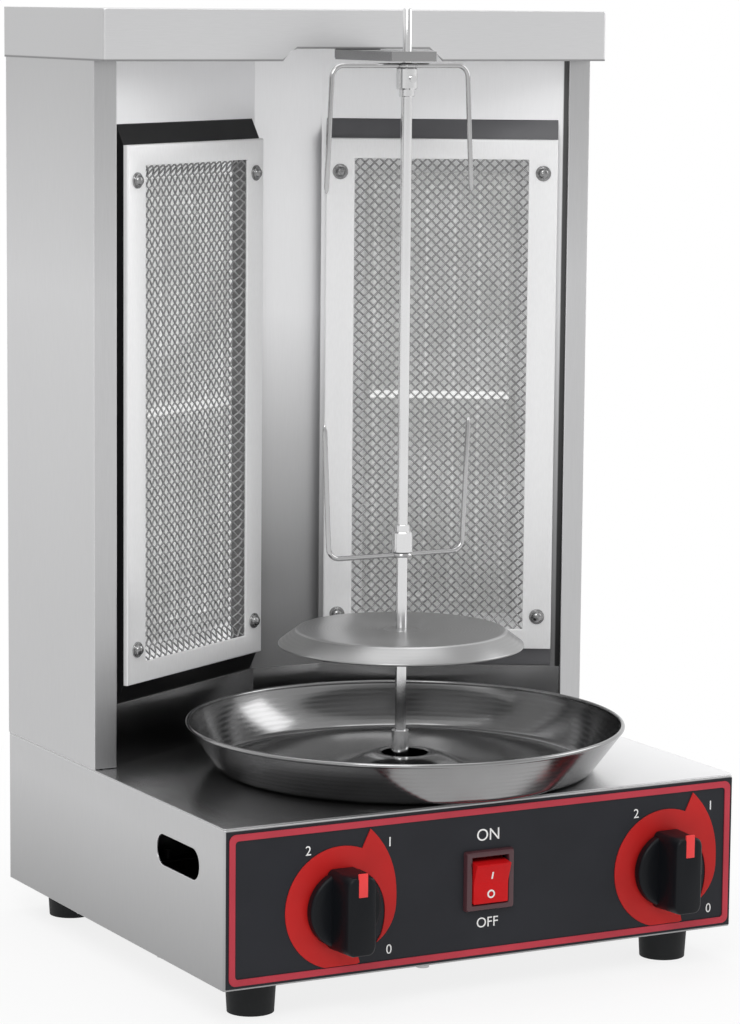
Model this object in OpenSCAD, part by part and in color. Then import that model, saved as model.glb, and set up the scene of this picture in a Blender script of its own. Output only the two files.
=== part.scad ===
// Electric skewer grill: two heater panels in a V, a turning spit with two
// forks, a meat plate and a lift-out drip pan, on a base with a control panel.
// Millimetres. X runs across, Y runs from front to back, Z is up, z = 0 is the
// floor. Shapes are drawn with y = 0 at the front wall and placed() moves them.

/* [Base] */
// Width of the base
base_w = 324; // [300:1:380]
// Depth of the base
base_d = 293; // [280:1:340]
// Height of the base without its feet
base_h = 89; // [86:1:110]
// Thickness of the steel sheet
sheet = 1; // [0.8:0.1:1.2]
// Width of the folded lips of the base
base_lip = 12; // [11:1:16]
// Radius of the upright corners
corner_r = 1.5; // [1.3:0.1:4]
// Length of the slot in the left side
slot_len = 54; // [40:1:70]
// Height of the slot in the left side
slot_h = 17.5; // [12:0.5:24]
// Distance from the front wall to the slot
slot_y = 30.5; // [24:0.5:60]
// Height of the slot's centre above the base's underside
slot_z = 62; // [40:1:64]

/* [Feet] */
// Height of a foot
foot_h = 20; // [14:1:30]
// Diameter of a foot at its top
foot_top_d = 28.4; // [24:0.2:34]
// Diameter of a foot at the floor
foot_low_d = 26; // [20:0.2:30]
// Distance of a foot's centre from the base's side
foot_x = 29; // [20:1:60]
// Distance of a foot's centre from the base's front or back
foot_y = 26; // [20:1:60]

/* [Hood] */
// Distance from the front wall of the base to the front of the hood
hood_y = 168; // [160:1:172]
// Height of the hood above the deck, with its cap
hood_h = 431; // [415:1:520]
// Width of the side panels' flanges
flange_w = 14; // [12:0.5:15]
// Gap below the front flanges
flange_gap = 0.5; // [0.5:0.5:6]
// Height of the cap
cap_h = 29; // [24:1:40]
// How far the cap stands out in front of the hood
cap_front = 16; // [10:1:19]
// Width of the notch in the cap's front edge
notch_w = 104; // [70:1:140]
// Height of the notch in the cap's front edge
notch_h = 7; // [6.8:0.1:12]

/* [Heaters] */
// Angle of each heater to the front
heater_angle = 30; // [26:0.5:32]
// Distance from the side of the hood to the heater frame
frame_x = 21.3; // [18:0.1:24]
// Width of a heater frame
frame_w = 138.5; // [128:0.5:142]
// Height of a heater frame
frame_h = 308; // [290:1:312]
// Height of a heater frame above the deck
frame_z = 47; // [30:1:56]
// Width of the frame's upright rails
frame_side = 17.3; // [15:0.1:19]
// Width of the frame's top and bottom rails
frame_end = 12; // [10:0.5:15]
// Thickness of the frame
frame_t = 1.2; // [0.8:0.1:1.5]
// Depth of the frame's folded lip
frame_lip = 3.4; // [2.8:0.1:4.2]
// How far the frame's face stands in front of the reflector
frame_proud = 8.7; // [7:0.1:12]
// Height of the sloped bezel above and below the frame
bezel_rise = 11.5; // [6:0.5:16]
// Depth of a heater box
box_depth = 22; // [20:0.5:24]
// Distance of a frame bolt from the frame's top or bottom
bolt_end = 20; // [16:1:30]
// Diameter of a frame bolt
bolt_d = 4; // [3:0.5:5]
// Width of a ceramic plate
ceramic_w = 92; // [86:1:96]
// Height of a ceramic plate
ceramic_h = 132; // [124:1:136]
// Thickness of a ceramic plate
ceramic_t = 12; // [10:0.5:12.5]
// Number of upright runs of a heating element
element_runs = 6; // [4:2:8]
// Diameter of the heating element's pins
pin_d = 3; // [2:0.5:4]
// Height of the seam strip across the ceramic plates
seam_h = 4.6; // [3:0.2:8]
// Width of the mesh guard's sloped border
mesh_slope = 9; // [6:0.5:12]
// Depth of the mesh guard's dish
mesh_dish = 4; // [3:0.1:4.2]
// Columns of openings in a mesh guard
mesh_cols = 10; // [4:1:12]
// Rows of openings in a mesh guard
mesh_rows = 15; // [6:1:20]

/* [Spit] */
// Distance from the front wall to the spit
spit_y = 101; // [98:1:106]
// Diameter of the spit rod
rod_d = 6.4; // [6:0.1:7]
// Diameter of the rod's thin top
rod_tip_d = 5; // [4:0.1:5.5]
// How far the rod stands above the cap
rod_over = 1.5; // [0.5:0.5:12]
// Diameter of the drive hub
hub_d = 10; // [9.6:0.2:12]
// Height of the drive hub's top above the deck
hub_top = 21.5; // [20:0.5:26]
// Diameter of the motor's shaft
shaft_d = 7; // [6:0.1:7.4]
// Side of the rod's square end
square_w = 4.4; // [4:0.1:4.5]
// Height of the meat plate's rim above the deck
plate_z = 71; // [68:1:76]
// Diameter of the meat plate's rim
plate_d = 141; // [110:1:160]
// Diameter of the meat plate's flat top
plate_top_d = 119; // [90:1:130]
// Height of the meat plate's cone
plate_h = 9.5; // [6:0.5:14]

/* [Forks] */
// Diameter of the fork wire
wire_d = 2.8; // [2.4:0.1:3.2]
// Half of the fork's span
fork_half = 43.5; // [30:0.5:50]
// How far the forks are set over to the left
fork_shift = 4; // [0:0.5:6]
// How far each prong leans out over its length
fork_splay = 3; // [1:0.5:6]
// Radius of the fork's bends
fork_bend = 7; // [5:0.5:9]
// Length of the upper fork
upper_fork_len = 71; // [50:1:80]
// Length of the lower fork
lower_fork_len = 77; // [50:1:84]
// Height of the lower fork's wire above the deck
lower_fork_z = 123.5; // [118:0.5:150]
// Diameter of a collar
collar_d = 12; // [11.6:0.2:14]
// Height of a collar
collar_h = 12; // [10:0.5:16]
// Diameter of a collar's neck
neck_d = 8.6; // [8.2:0.2:10]
// Height of a collar's neck
neck_h = 4; // [2:0.5:6]

/* [Spit bracket] */
// Width of the spit bracket
bracket_w = 29; // [20:1:50]
// Thickness of the spit bracket's bar
bracket_t = 5.5; // [4:0.5:5.5]
// How far the bracket reaches in front of the spit
bracket_reach = 9; // [6:0.5:16]

/* [Drip pan] */
// Diameter of the pan's rim
pan_rim_d = 251; // [236:1:256]
// Height of the pan
pan_h = 26; // [18:1:32]
// Thickness of the pan's wall
pan_wall = 1; // [0.8:0.1:1.2]
// Slope of the pan's side
pan_slope = 55; // [48:1:70]
// Radius between the pan's floor and side
pan_fillet = 8; // [5:0.5:10]
// Diameter of the pan's rolled rim
pan_bead = 2.6; // [2:0.1:3.4]
// Diameter of the raised middle of the pan
hill_d = 84; // [60:1:100]
// Height of the raised middle of the pan
hill_h = 8.6; // [6:0.2:10]
// Gap between the drive hub and the hole in the pan
pan_hole_gap = 8.5; // [8:0.5:10]
// How far the loose pan lies to the right of the spit
pan_shift = 3; // [0:0.5:4]

/* [Controls] */
// Distance of the left knob from the base's left side
left_knob_in = 70; // [62:0.5:78]
// Distance of the right knob from the base's right side
right_knob_in = 45.5; // [45:0.5:60]
// Height of the knobs above the base's underside
knob_z = 39; // [38:0.5:40]
// Thickness of the control panel
panel_t = 0.8; // [0.5:0.1:1.2]
// Width of the panel's border line
border_w = 3.6; // [2:0.2:4]
// Distance from the panel's edge to its border line
border_in = 1.5; // [1:0.1:3]
// Radius of the border line's outer corners
border_r = 4; // [2:0.2:6]
// Thickness of the border line and the power marks
print_t = 0.6; // [0.3:0.1:0.8]
// Outer radius of a power mark
mark_r = 34; // [32:0.5:34.5]
// Diameter of a knob's base
knob_d = 43; // [38:0.5:46]
// Thickness of a knob's base
knob_base = 6; // [5.6:0.2:8]
// Height of a knob
knob_h = 24.2; // [22:0.2:28]
// Width of a knob's grip
grip_w = 19; // [14:0.5:22]
// Width of a knob's pointer
pointer_w = 5.5; // [3:0.5:8]
// Length of a knob's pointer
pointer_len = 13; // [8:0.5:18]
// How far a knob's pointer runs past the knob's base
pointer_over = 2.5; // [0:0.5:3]
// Diameter of a regulator's shaft
control_shaft_d = 6; // [5:0.1:6.2]
// Side of a regulator's body
regulator_w = 44; // [36:1:46]
// Height of the switch above the base's underside
switch_z = 44.8; // [42:0.2:46]
// Width of the switch bezel
bezel_w = 31; // [30.6:0.2:36]
// Height of the switch bezel
bezel_h = 34; // [33:0.5:40]
// How far the switch bezel stands out of the panel
bezel_out = 3.2; // [2:0.2:4]
// Width of the rocker
rocker_w = 22; // [20:0.5:24]
// Height of the rocker
rocker_h = 23; // [21:0.5:24]
// Tilt of the rocker to each side
rocker_tilt = 9; // [5:0.5:9]

/* [Drive] */
// Width of the motor's gearbox
gearbox_w = 64; // [56:1:70]
// Depth of the motor's gearbox
gearbox_d = 56; // [50:1:64]
// Height of the motor's gearbox
gearbox_h = 22; // [20:1:26]
// Diameter of the motor's can
can_d = 50; // [40:1:54]
// Height of the motor's can
can_h = 38; // [28:1:40]

/* [Rear] */
// Place of the cord gland from the middle of the back
gland_x = 90; // [60:1:120]
// Height of the cord gland above the base's underside
gland_z = 42; // [34:1:60]
// How far the gland stands out of the back
gland_out = 12; // [8:0.5:16]
// Diameter of the gland's opening
gland_bore_d = 9; // [6:0.5:10]
// Rows of vent slots in the back panel
vent_rows = 6; // [2:1:8]

/* [Fits] */
// Radial clearance of a turning shaft
turn_gap = 0.05; // [0.02:0.01:0.1]
// Clearance of a screw in its hole, on the diameter
screw_gap = 0.2; // [0.1:0.05:0.4]
// Clearance round a part that drops into a cut-out
fit_gap = 0.2; // [0.1:0.05:0.4]
// Gap between parts that pass each other
pass_gap = 0.5; // [0.4:0.1:0.8]

/* [Hidden] */
$fn = 64;
over = 1;                    // how far a cut runs past a face
foot_base = foot_h;          // underside of the base
deck_z = foot_base + base_h; // top of the deck
top_z = deck_z + hood_h;     // top of the cap
roof_z = top_z - sheet;      // underside of the cap's top
cap_z = top_z - cap_h;       // lower edge of the cap
half_w = base_w / 2;
left_x = foot_x - half_w;    // middles of the feet
right_x = half_w - foot_x;
rear_y = base_d - foot_y;
panel_in = 1;                // from the wall's edge to the control panel's edge
border_edge = panel_in + border_in;
left_knob_x = left_knob_in - half_w;
right_knob_x = half_w - right_knob_in;
knob_gap = 1.6;              // gap between panel and knob
pointer_out = 0.3;           // how far a pointer stands out of its grip
knob_face = panel_t + knob_gap + knob_h;
pan_r = pan_rim_d / 2;
front_reach = max(knob_face + pointer_out, pan_r + pan_bead / 2 - spit_y);
back_reach = base_d + gland_out;
centre_y = (back_reach - front_reach) / 2;

// screws
case_d = 4;
case_head_d = 7.5;
case_head_h = 2.4;
case_len = 8;
foot_screw_d = 5;
foot_head_d = 9;
foot_head_h = 3;
foot_screw_in = 5;                   // how far a foot's screw passes the bottom plate
edge_in = 7;                         // from an edge of the base to its screws
front_screw_x = -36.5;
rear_screw_x = 60;
side_screw_y = 90;                   // from the front, and a little more from the back
bottom_screws = [[front_screw_x, edge_in], [-rear_screw_x, base_d - edge_in],
    [rear_screw_x, base_d - edge_in], [edge_in - half_w, side_screw_y],
    [edge_in - half_w, base_d - side_screw_y - 3], [half_w - edge_in, side_screw_y],
    [half_w - edge_in, base_d - side_screw_y - 3]];
side_lip = 11;
side_screw_x = half_w - 6;
side_screw_ys = [hood_y + 24, base_d - 22];
back_screw_zs = [deck_z + 41, deck_z + hood_h / 2, cap_z - 60];
back_screw_x = half_w - flange_w / 2;
cap_screw_x = half_w - 62;
cap_screw_z = top_z - cap_h / 2;

// heaters, in a frame's own place: x along it, y into the hood, z up
frame_outer = [frame_x - half_w, hood_y];
heater_z = deck_z + frame_z;
wall_in = 13;                        // from the frame's edge to the tray's inside
tray_end = 8;                        // the same at the top and bottom
tray_t = 1;
mesh_t = 1;
mesh_edge = 3;
mesh_y = frame_t;                    // front of the mesh guard's rim
mesh_back = mesh_y + mesh_t + mesh_dish;
ceramic_y = box_depth - tray_t - ceramic_t;
element_t = 1.6;
element_w = 3;
element_y = ceramic_y - element_t;
seam_t = 1;
seam_w = ceramic_w - 8;
seam_gap = 1.5;                      // half of the gap between the two plates
element_half_h = ceramic_h - 7;
element_pitch = (ceramic_w - 14) / (element_runs - 1);
element_x0 = (frame_w - element_pitch * (element_runs - 1)) / 2;
pin_back = box_depth + 4;
bolt_side = frame_side / 2;
washer_d = bolt_d * 2.3;
washer_t = 1;
bolt_head_d = bolt_d * 1.6;
bolt_head_h = 2.6;
bolt_len = frame_proud + 4;          // from under the washer
middle_in = 3;                       // from a frame's edge to the reflector's fold
middle_y = wing_point(frame_w + middle_in, frame_proud)[1];
lead_gap = 6;                        // from the element's pins to the leads' first bend

// plan of the reflector: front face of its left wing and of its middle
function wing_point(along, depth) = [
    frame_outer[0] + along * cos(heater_angle) - depth * sin(heater_angle),
    frame_outer[1] + along * sin(heater_angle) + depth * cos(heater_angle)];
function wing_at_y(y, depth) =
    wing_point(0, depth)[0] + (y - wing_point(0, depth)[1]) / tan(heater_angle);
// plan of a folded sheet behind the heaters: the ends of one face of its left wing
function wing_face(depth) =
    let (y0 = hood_y + sheet, y1 = middle_y + depth - frame_proud)
    [[wing_at_y(y0, depth), y0], [wing_at_y(y1, depth), y1]];
// its whole outline, with its front face this deep
function wing_outline(depth, thick) =
    let (front = wing_face(depth), back = wing_face(depth + thick))
    [front[0], front[1], [-front[1][0], front[1][1]], [-front[0][0], front[0][1]],
     [-back[0][0], back[0][1]], [-back[1][0], back[1][1]], back[1], back[0]];
// a place in the left heater's own frame, in the whole object
function heater_point(p) =
    [wing_point(p[0], p[1])[0], wing_point(p[0], p[1])[1], heater_z + p[2]];

// spit
bracket_rise = 1;                         // from the cap's edge to the bracket
shoulder_gap = 0.8;                       // from the rod's shoulder to the bracket
fork_gap = 1;                             // from the upper fork to the bracket
bracket_low = cap_z + bracket_rise;
rod_shoulder = bracket_low - shoulder_gap;
collar_top = bracket_low - fork_gap - wire_d;    // top of the upper collar
tab_y = hood_y - cap_front + sheet + 6;   // front of the bracket's tab
tab_t = 1.5;
tab_flange = 18;
socket_depth = 9;
rod_low = deck_z + hub_top - socket_depth;
bush_d = 12;
bush_flange_d = 16;
bush_flange_t = 1.2;
bush_gap = 0.2;                           // over and under the bush
hub_low = deck_z + bush_flange_t + bush_gap;
shaft_top = rod_low - 1;
boss_d = 16;
boss_h = 12;
stop_d = 10;
stop_h = 2.5;
plate_t = 1.2;
clamp_d = 4;
prong_tip = 4;
collar_screw_out = 2;

// drip pan
pan_foot_r = pan_r - pan_fillet * sin(pan_slope)
    - (pan_h - pan_fillet * (1 - cos(pan_slope))) / tan(pan_slope);
pan_hole_r = hub_d / 2 + pan_hole_gap;
hill_top_r = pan_hole_r + 3;

// controls
bushing_d = 10;
bushing_out = 3.6;                  // how far a regulator's thread passes the panel
nut_w = 14;
nut_t = 2.2;
recess_d = 20;
recess_h = 3.4;
pointer_t = 1.2;
regulator_d = 28;
knob_back = panel_t + knob_gap;     // distance from the wall to the knob's back
shaft_out = knob_back + recess_h + 13;
shaft_in = 15;
rocker_gap = 1.8;
rocker_side = 0.4;
opening_w = rocker_w + 2 * rocker_side;
opening_h = rocker_h + 2 * rocker_gap;
switch_wall = 1.4;
switch_depth = 24;
switch_well = 11;
rocker_pivot_y = 3;
rocker_front = 7.7;                 // from the pivot to the face's middle
rocker_back = 3;
facet_angle = 9;                    // each half of the face rises to its end
trunnion_d = 3;

// a power mark: thin at its lower right end, with a barb at the top
mark_start = -45;
mark_barb = 67;
mark_end = 295;
mark_step = 6;
mark_rise = mark_r * 0.338;
mark_thick = mark_r * 0.44;
mark_gap = 0.4;                     // from the mark to the border line
function mark_outer(a) = a < 0
    ? mark_r * (1 - 0.09 * pow(a / mark_start, 2))
    : a <= mark_barb ? mark_r + mark_rise * pow(a / mark_barb, 1.6) : mark_r;
function mark_inner(a) = mark_r * 0.99
    - mark_thick * sqrt(min(1, (a - mark_start) / 200));
function polar(r, a) = [r * cos(a), r * sin(a)];

// motor
bracket_sheet = 2;
plate_low = deck_z - sheet - bracket_sheet;
ear_x = gearbox_w / 2 + 6;          // of the ears' screws
ear_t = 3;
ear_r = 6;
ear_half = 10;
bracket_edge = [4, 8];              // round the ears and the gearbox
shaft_in_box = gearbox_h - 5;

// vents
vent_w = 60;
vent_h = 4;
vent_x = 70;
vent_pitch = 16;
vent_top = 40;                      // from the cap down to the first row
floor_vent_y = [spit_y + 50, spit_y + 100];
floor_vent_pitch = 14;

// cord gland
gland_thread_d = 16;
gland_in = 8;                       // how far its thread runs inside the wall
gland_hex = 24;
gland_hex_t = 5;
gland_cap_d = [19, 14];

// inner parts
block_size = [60, 22, 18];
block_pitch = 12;
block_hole_d = 6;
wire_y = base_d - base_lip - block_size[1] / 2;    // of the leads across the back
wire_hole_d = 14;
wire_hole_x = 60;
block_at = [20, wire_y - block_size[1] / 2];
block_top = foot_base + sheet + block_size[2];
lead_d = 4;
bus_d = 5;
crimp = 1.2;
bus_z = foot_base + knob_z;
switch_lead_z = foot_base + switch_z;
switch_lead_x = ear_x + 22;         // beside the motor
switch_lead_ys = [switch_depth + 21, wire_y - 30];

// ---- helpers ----

// puts the whole object's box in the middle, over the origin
module placed() {
    translate([0, -centre_y, 0]) children();
}

module round_rect(x0, y0, x1, y1, r) {
    translate([x0 + r, y0]) square([x1 - x0 - 2 * r, y1 - y0]);
    translate([x0, y0 + r]) square([x1 - x0, y1 - y0 - 2 * r]);
    for (x = [x0 + r, x1 - r], y = [y0 + r, y1 - r])
        translate([x, y]) circle(r);
}

// a box between two corners
module block(a, b) {
    translate(a) cube(b - a);
}

// a cylinder that runs along Y, from y to y + length
module rod_y(x, y, z, d, length) {
    translate([x, y, z]) rotate([-90, 0, 0]) cylinder(d = d, h = length);
}

// the left heater's own frame: x along it, y into the hood, z up
module at_left_heater() {
    translate([frame_outer[0], frame_outer[1], heater_z])
        rotate([0, 0, heater_angle]) children();
}

module at_right_heater() {
    mirror([1, 0, 0]) at_left_heater() children();
}

// a frustum with its wide end at y, for the dished mesh
module dish(inset, y, thick, depth, slope) {
    x0 = inset[0];
    z0 = inset[1];
    x1 = frame_w - x0;
    z1 = frame_h - z0;
    intersection() {
        translate([0, 0, z0]) linear_extrude(z1 - z0)
            polygon([[x0, y], [x1, y], [x1 - slope, y + depth], [x0 + slope, y + depth]]);
        translate([x0, 0, 0]) rotate([90, 0, 90]) linear_extrude(x1 - x0)
            polygon([[y, z0], [y, z1], [y + depth, z1 - slope], [y + depth, z0 + slope]]);
    }
}

module frame_bolt_places() {
    for (x = [bolt_side, frame_w - bolt_side], z = [bolt_end, frame_h - bolt_end])
        translate([x, 0, z]) children();
}

module case_screw(length = case_len) {
    translate([0, 0, -case_head_h]) cylinder(d = case_head_d, h = case_head_h);
    cylinder(d = case_d, h = length);
}

// the places of the case screws, each with the turn of its shank
module bottom_screw_places() {
    for (p = bottom_screws) translate([p[0], p[1], foot_base]) children();
}

module side_screw_places() {
    for (s = [-1, 1], y = side_screw_ys)
        translate([s * side_screw_x, y, deck_z + sheet]) rotate([180, 0, 0]) children();
}

module back_screw_places() {
    for (s = [-1, 1], z = back_screw_zs)
        translate([s * back_screw_x, base_d, z]) rotate([90, 0, 0]) children();
}

module cap_screw_places() {
    for (s = [-1, 1])
        translate([s * cap_screw_x, base_d + sheet, cap_screw_z])
            rotate([90, 0, 0]) children();
}

module motor_screw_places() {
    for (s = [-1, 1])
        translate([s * ear_x, spit_y, plate_low - ear_t]) children();
}

module screw_hole(depth = 12) {
    translate([0, 0, -over]) cylinder(d = case_d + screw_gap, h = depth);
}

// ---- base ----

module knob_holes(back, front, d) {
    for (x = [left_knob_x, right_knob_x])
        rod_y(x, -front, foot_base + knob_z, d, front + back);
}

module switch_cutout(back, front) {
    w = opening_w + 2 * switch_wall + 2 * fit_gap;
    h = opening_h + 2 * switch_wall + 2 * fit_gap;
    block([-w / 2, -front, foot_base + switch_z - h / 2],
          [w / 2, back, foot_base + switch_z + h / 2]);
}

module slot_cut() {
    r = slot_h / 2 - 0.5;
    translate([-half_w - over, 0, foot_base + slot_z]) rotate([90, 0, 90])
        linear_extrude(sheet + 2 * over)
            round_rect(slot_y, -slot_h / 2, slot_y + slot_len, slot_h / 2, r);
}

module base_shell() {
    color("#b9bbbd") difference() {
        translate([0, 0, foot_base]) linear_extrude(base_h - sheet)
            round_rect(-half_w, 0, half_w, base_d, corner_r);
        // hollow, with a lip all round at the top and above the bottom plate
        block([-half_w + sheet, sheet, foot_base + 2 * sheet],
              [half_w - sheet, base_d - sheet, deck_z - 2 * sheet]);
        block([-half_w + sheet, sheet, foot_base - over],
              [half_w - sheet, base_d - sheet, foot_base + sheet]);
        block([-half_w + base_lip, base_lip, foot_base],
              [half_w - base_lip, base_d - base_lip, deck_z + over]);
        slot_cut();
        knob_holes(sheet + over, over, bushing_d + screw_gap);
        switch_cutout(sheet + over, over);
        rod_y(gland_x, base_d - sheet - over, foot_base + gland_z,
              gland_thread_d + screw_gap, sheet + 2 * over);
        bottom_screw_places() screw_hole();
        side_screw_places() screw_hole();
    }
}

module deck_plate() {
    color("#8d9094") difference() {
        translate([0, 0, deck_z - sheet]) linear_extrude(sheet)
            round_rect(-half_w, 0, half_w, base_d, corner_r);
        translate([0, spit_y, deck_z - sheet - over])
            cylinder(d = bush_d + screw_gap, h = sheet + 2 * over);
        for (s = [-1, 1])
            translate([s * wire_hole_x, wire_y, deck_z - sheet - over])
                cylinder(d = wire_hole_d, h = sheet + 2 * over);
        side_screw_places() screw_hole();
        motor_screw_places() screw_hole();
    }
}

module bottom_plate() {
    gap = sheet + fit_gap;
    color("#a9abad") difference() {
        block([-half_w + gap, gap, foot_base],
              [half_w - gap, base_d - gap, foot_base + sheet]);
        bottom_screw_places() screw_hole();
        for (x = [left_x, right_x], y = [foot_y, rear_y])
            translate([x, y, foot_base - over])
                cylinder(d = foot_screw_d + screw_gap, h = sheet + 2 * over);
        // vent slots under the motor
        for (i = [-3 : 3])
            block([i * floor_vent_pitch - vent_h / 2, floor_vent_y[0], foot_base - over],
                  [i * floor_vent_pitch + vent_h / 2, floor_vent_y[1],
                   foot_base + sheet + over]);
    }
}

module foot(x, y) {
    color("#1d1d1f") translate([x, y, 0]) difference() {
        cylinder(d1 = foot_low_d, d2 = foot_top_d, h = foot_h);
        translate([0, 0, -over]) cylinder(d = foot_head_d + 3, h = foot_h / 2 + over);
        cylinder(d = foot_screw_d + screw_gap, h = foot_h + over);
    }
}

module foot_screws() {
    color("#9a9c9f") for (x = [left_x, right_x], y = [foot_y, rear_y])
        translate([x, y, foot_h / 2]) {
            translate([0, 0, -foot_head_h]) cylinder(d = foot_head_d, h = foot_head_h);
            cylinder(d = foot_screw_d, h = foot_h / 2 + sheet + foot_screw_in);
        }
}

// ---- control panel ----

module front_panel() {
    color("#26272a") difference() {
        block([-half_w + panel_in, -panel_t, foot_base + panel_in],
              [half_w - panel_in, 0, deck_z - sheet - panel_in]);
        knob_holes(over, panel_t + over, bushing_d + screw_gap);
        switch_cutout(over, panel_t + over);
    }
}

// the control panel's outline, drawn in by an inset
module panel_inset_2d(inset, r) {
    round_rect(inset - half_w, foot_base + inset, half_w - inset, deck_z - sheet - inset, r);
}

module panel_border() {
    color("#d0495a") translate([0, -panel_t, 0]) rotate([90, 0, 0])
        linear_extrude(print_t) difference() {
            panel_inset_2d(border_edge, border_r);
            panel_inset_2d(border_edge + border_w, border_r / 2);
        }
}

// a tapering curved arrow round a knob
module power_mark(x) {
    outline = concat(
        [for (a = [mark_start : mark_step : mark_barb]) polar(mark_outer(a), a)],
        [polar(mark_outer(mark_barb), mark_barb)],
        [for (a = [mark_barb + 1 : mark_step : mark_end]) polar(mark_outer(a), a)],
        [for (a = [mark_end : -mark_step : mark_start + mark_step])
            polar(mark_inner(a), a)]);
    translate([x, -panel_t, foot_base + knob_z]) rotate([90, 0, 0])
        linear_extrude(print_t) intersection() {
            polygon(outline);
            translate([-x, -foot_base - knob_z])
                panel_inset_2d(border_edge + border_w + mark_gap, border_r / 2);
        }
}

module power_marks() {
    color("#cf2430") for (x = [left_knob_x, right_knob_x]) power_mark(x);
}

module knob(x) {
    color("#1b1b1d") translate([x, -knob_back, foot_base + knob_z]) rotate([90, 0, 0])
        difference() {
            union() {
                cylinder(d = knob_d, h = knob_base);
                intersection() {
                    cylinder(d = knob_d + 1.4, h = knob_h);
                    translate([-grip_w / 2, -knob_d, 0.2]) cube([grip_w, 2 * knob_d, knob_h]);
                }
            }
            translate([0, 0, -over]) cylinder(d = recess_d, h = recess_h + over);
            cylinder(d = control_shaft_d, h = shaft_out - knob_back + 1);
            pointer_solid(fit_gap / 4);
        }
}

// the pointer lies in the grip's face and stands out at its top end
module pointer_solid(gap) {
    top = knob_d / 2 + pointer_over;
    block([-pointer_w / 2 - gap, top - pointer_len - gap, knob_h - pointer_t - gap],
          [pointer_w / 2 + gap, top, knob_h + pointer_out]);
}

module knob_pointer(x) {
    color("#d8343f") translate([x, -knob_back, foot_base + knob_z]) rotate([90, 0, 0])
        pointer_solid(0);
}

module regulator(x) {
    color("#d9d4c7") difference() {
        union() {
            block([x - regulator_w / 2, sheet, foot_base + knob_z - regulator_w / 2 + 4],
                  [x + regulator_w / 2, sheet + regulator_d,
                   foot_base + knob_z + regulator_w / 2]);
            rod_y(x, -panel_t - bushing_out, foot_base + knob_z, bushing_d,
                  panel_t + bushing_out + sheet);
        }
        rod_y(x, -panel_t - bushing_out - over, foot_base + knob_z,
              control_shaft_d + 2 * turn_gap,
              panel_t + bushing_out + over + shaft_in + 0.5);
    }
}

module regulator_shaft(x) {
    color("#c8a24a") rod_y(x, -shaft_out, foot_base + knob_z, control_shaft_d,
                           shaft_out + shaft_in);
}

module regulator_nuts() {
    color("#a6a8aa") for (x = [left_knob_x, right_knob_x])
        translate([x, -panel_t, foot_base + knob_z]) rotate([90, 0, 0]) difference() {
            cylinder(d = nut_w / cos(30), h = nut_t, $fn = 6);
            translate([0, 0, -over]) cylinder(d = bushing_d, h = nut_t + 2 * over);
        }
}

// ---- switch ----

module at_switch() {
    translate([0, 0, foot_base + switch_z]) children();
}

module switch_opening(y0, y1) {
    block([-opening_w / 2, y0, -opening_h / 2], [opening_w / 2, y1, opening_h / 2]);
}

module switch_bezel() {
    color("#54464f") at_switch() difference() {
        translate([0, -panel_t, 0]) rotate([90, 0, 0]) linear_extrude(bezel_out)
            round_rect(-bezel_w / 2, -bezel_h / 2, bezel_w / 2, bezel_h / 2, 1.5);
        switch_opening(-panel_t - bezel_out - over, over);
    }
}

module switch_body() {
    w = opening_w + 2 * switch_wall;
    h = opening_h + 2 * switch_wall;
    color("#202022") at_switch() difference() {
        block([-w / 2, -panel_t, -h / 2], [w / 2, switch_depth, h / 2]);
        switch_opening(-panel_t - over, switch_well);
        translate([-w / 2 - over, rocker_pivot_y, 0]) rotate([0, 90, 0])
            cylinder(d = trunnion_d + 2 * turn_gap, h = w + 2 * over);
    }
}

// rests switched off, with its lower half pressed in
module switch_rocker() {
    rise = rocker_h / 2 * tan(facet_angle);
    color("#d3202b") at_switch() translate([0, rocker_pivot_y, 0])
        rotate([rocker_tilt, 0, 0]) {
            translate([-rocker_w / 2, 0, 0]) rotate([90, 0, 90]) linear_extrude(rocker_w)
                polygon([[-rocker_front, 0], [-rocker_front - rise, -rocker_h / 2],
                         [rocker_back, -rocker_h / 2], [rocker_back, rocker_h / 2],
                         [-rocker_front - rise, rocker_h / 2]]);
            translate([-rocker_w / 2 - rocker_side - 1, 0, 0]) rotate([0, 90, 0])
                cylinder(d = trunnion_d, h = rocker_w + 2 * rocker_side + 2);
        }
}

// ---- drive ----

module gear_motor() {
    top = plate_low;
    color("#6f7377") difference() {
        union() {
            block([-gearbox_w / 2, spit_y - gearbox_d / 2, top - gearbox_h],
                  [gearbox_w / 2, spit_y + gearbox_d / 2, top]);
            block([-ear_x - ear_r, spit_y - ear_half, top - ear_t],
                  [ear_x + ear_r, spit_y + ear_half, top]);
            translate([0, spit_y, top - gearbox_h - can_h]) cylinder(d = can_d, h = can_h);
        }
        translate([0, spit_y, top - shaft_in_box - over])
            cylinder(d = shaft_d + 2 * turn_gap, h = shaft_in_box + 2 * over);
        motor_screw_places() screw_hole();
    }
}

module motor_bracket() {
    color("#a4a6a8") difference() {
        block([-ear_x - ear_r - bracket_edge[0], spit_y - gearbox_d / 2 - bracket_edge[1],
               plate_low],
              [ear_x + ear_r + bracket_edge[0], spit_y + gearbox_d / 2 + bracket_edge[1],
               deck_z - sheet]);
        translate([0, spit_y, plate_low - over])
            cylinder(d = bush_d + 2, h = bracket_sheet + 2 * over);
        motor_screw_places() screw_hole();
    }
}

module motor_shaft() {
    low = plate_low - shaft_in_box;
    color("#c0c2c4") translate([0, spit_y, low]) cylinder(d = shaft_d, h = shaft_top - low);
}

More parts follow.
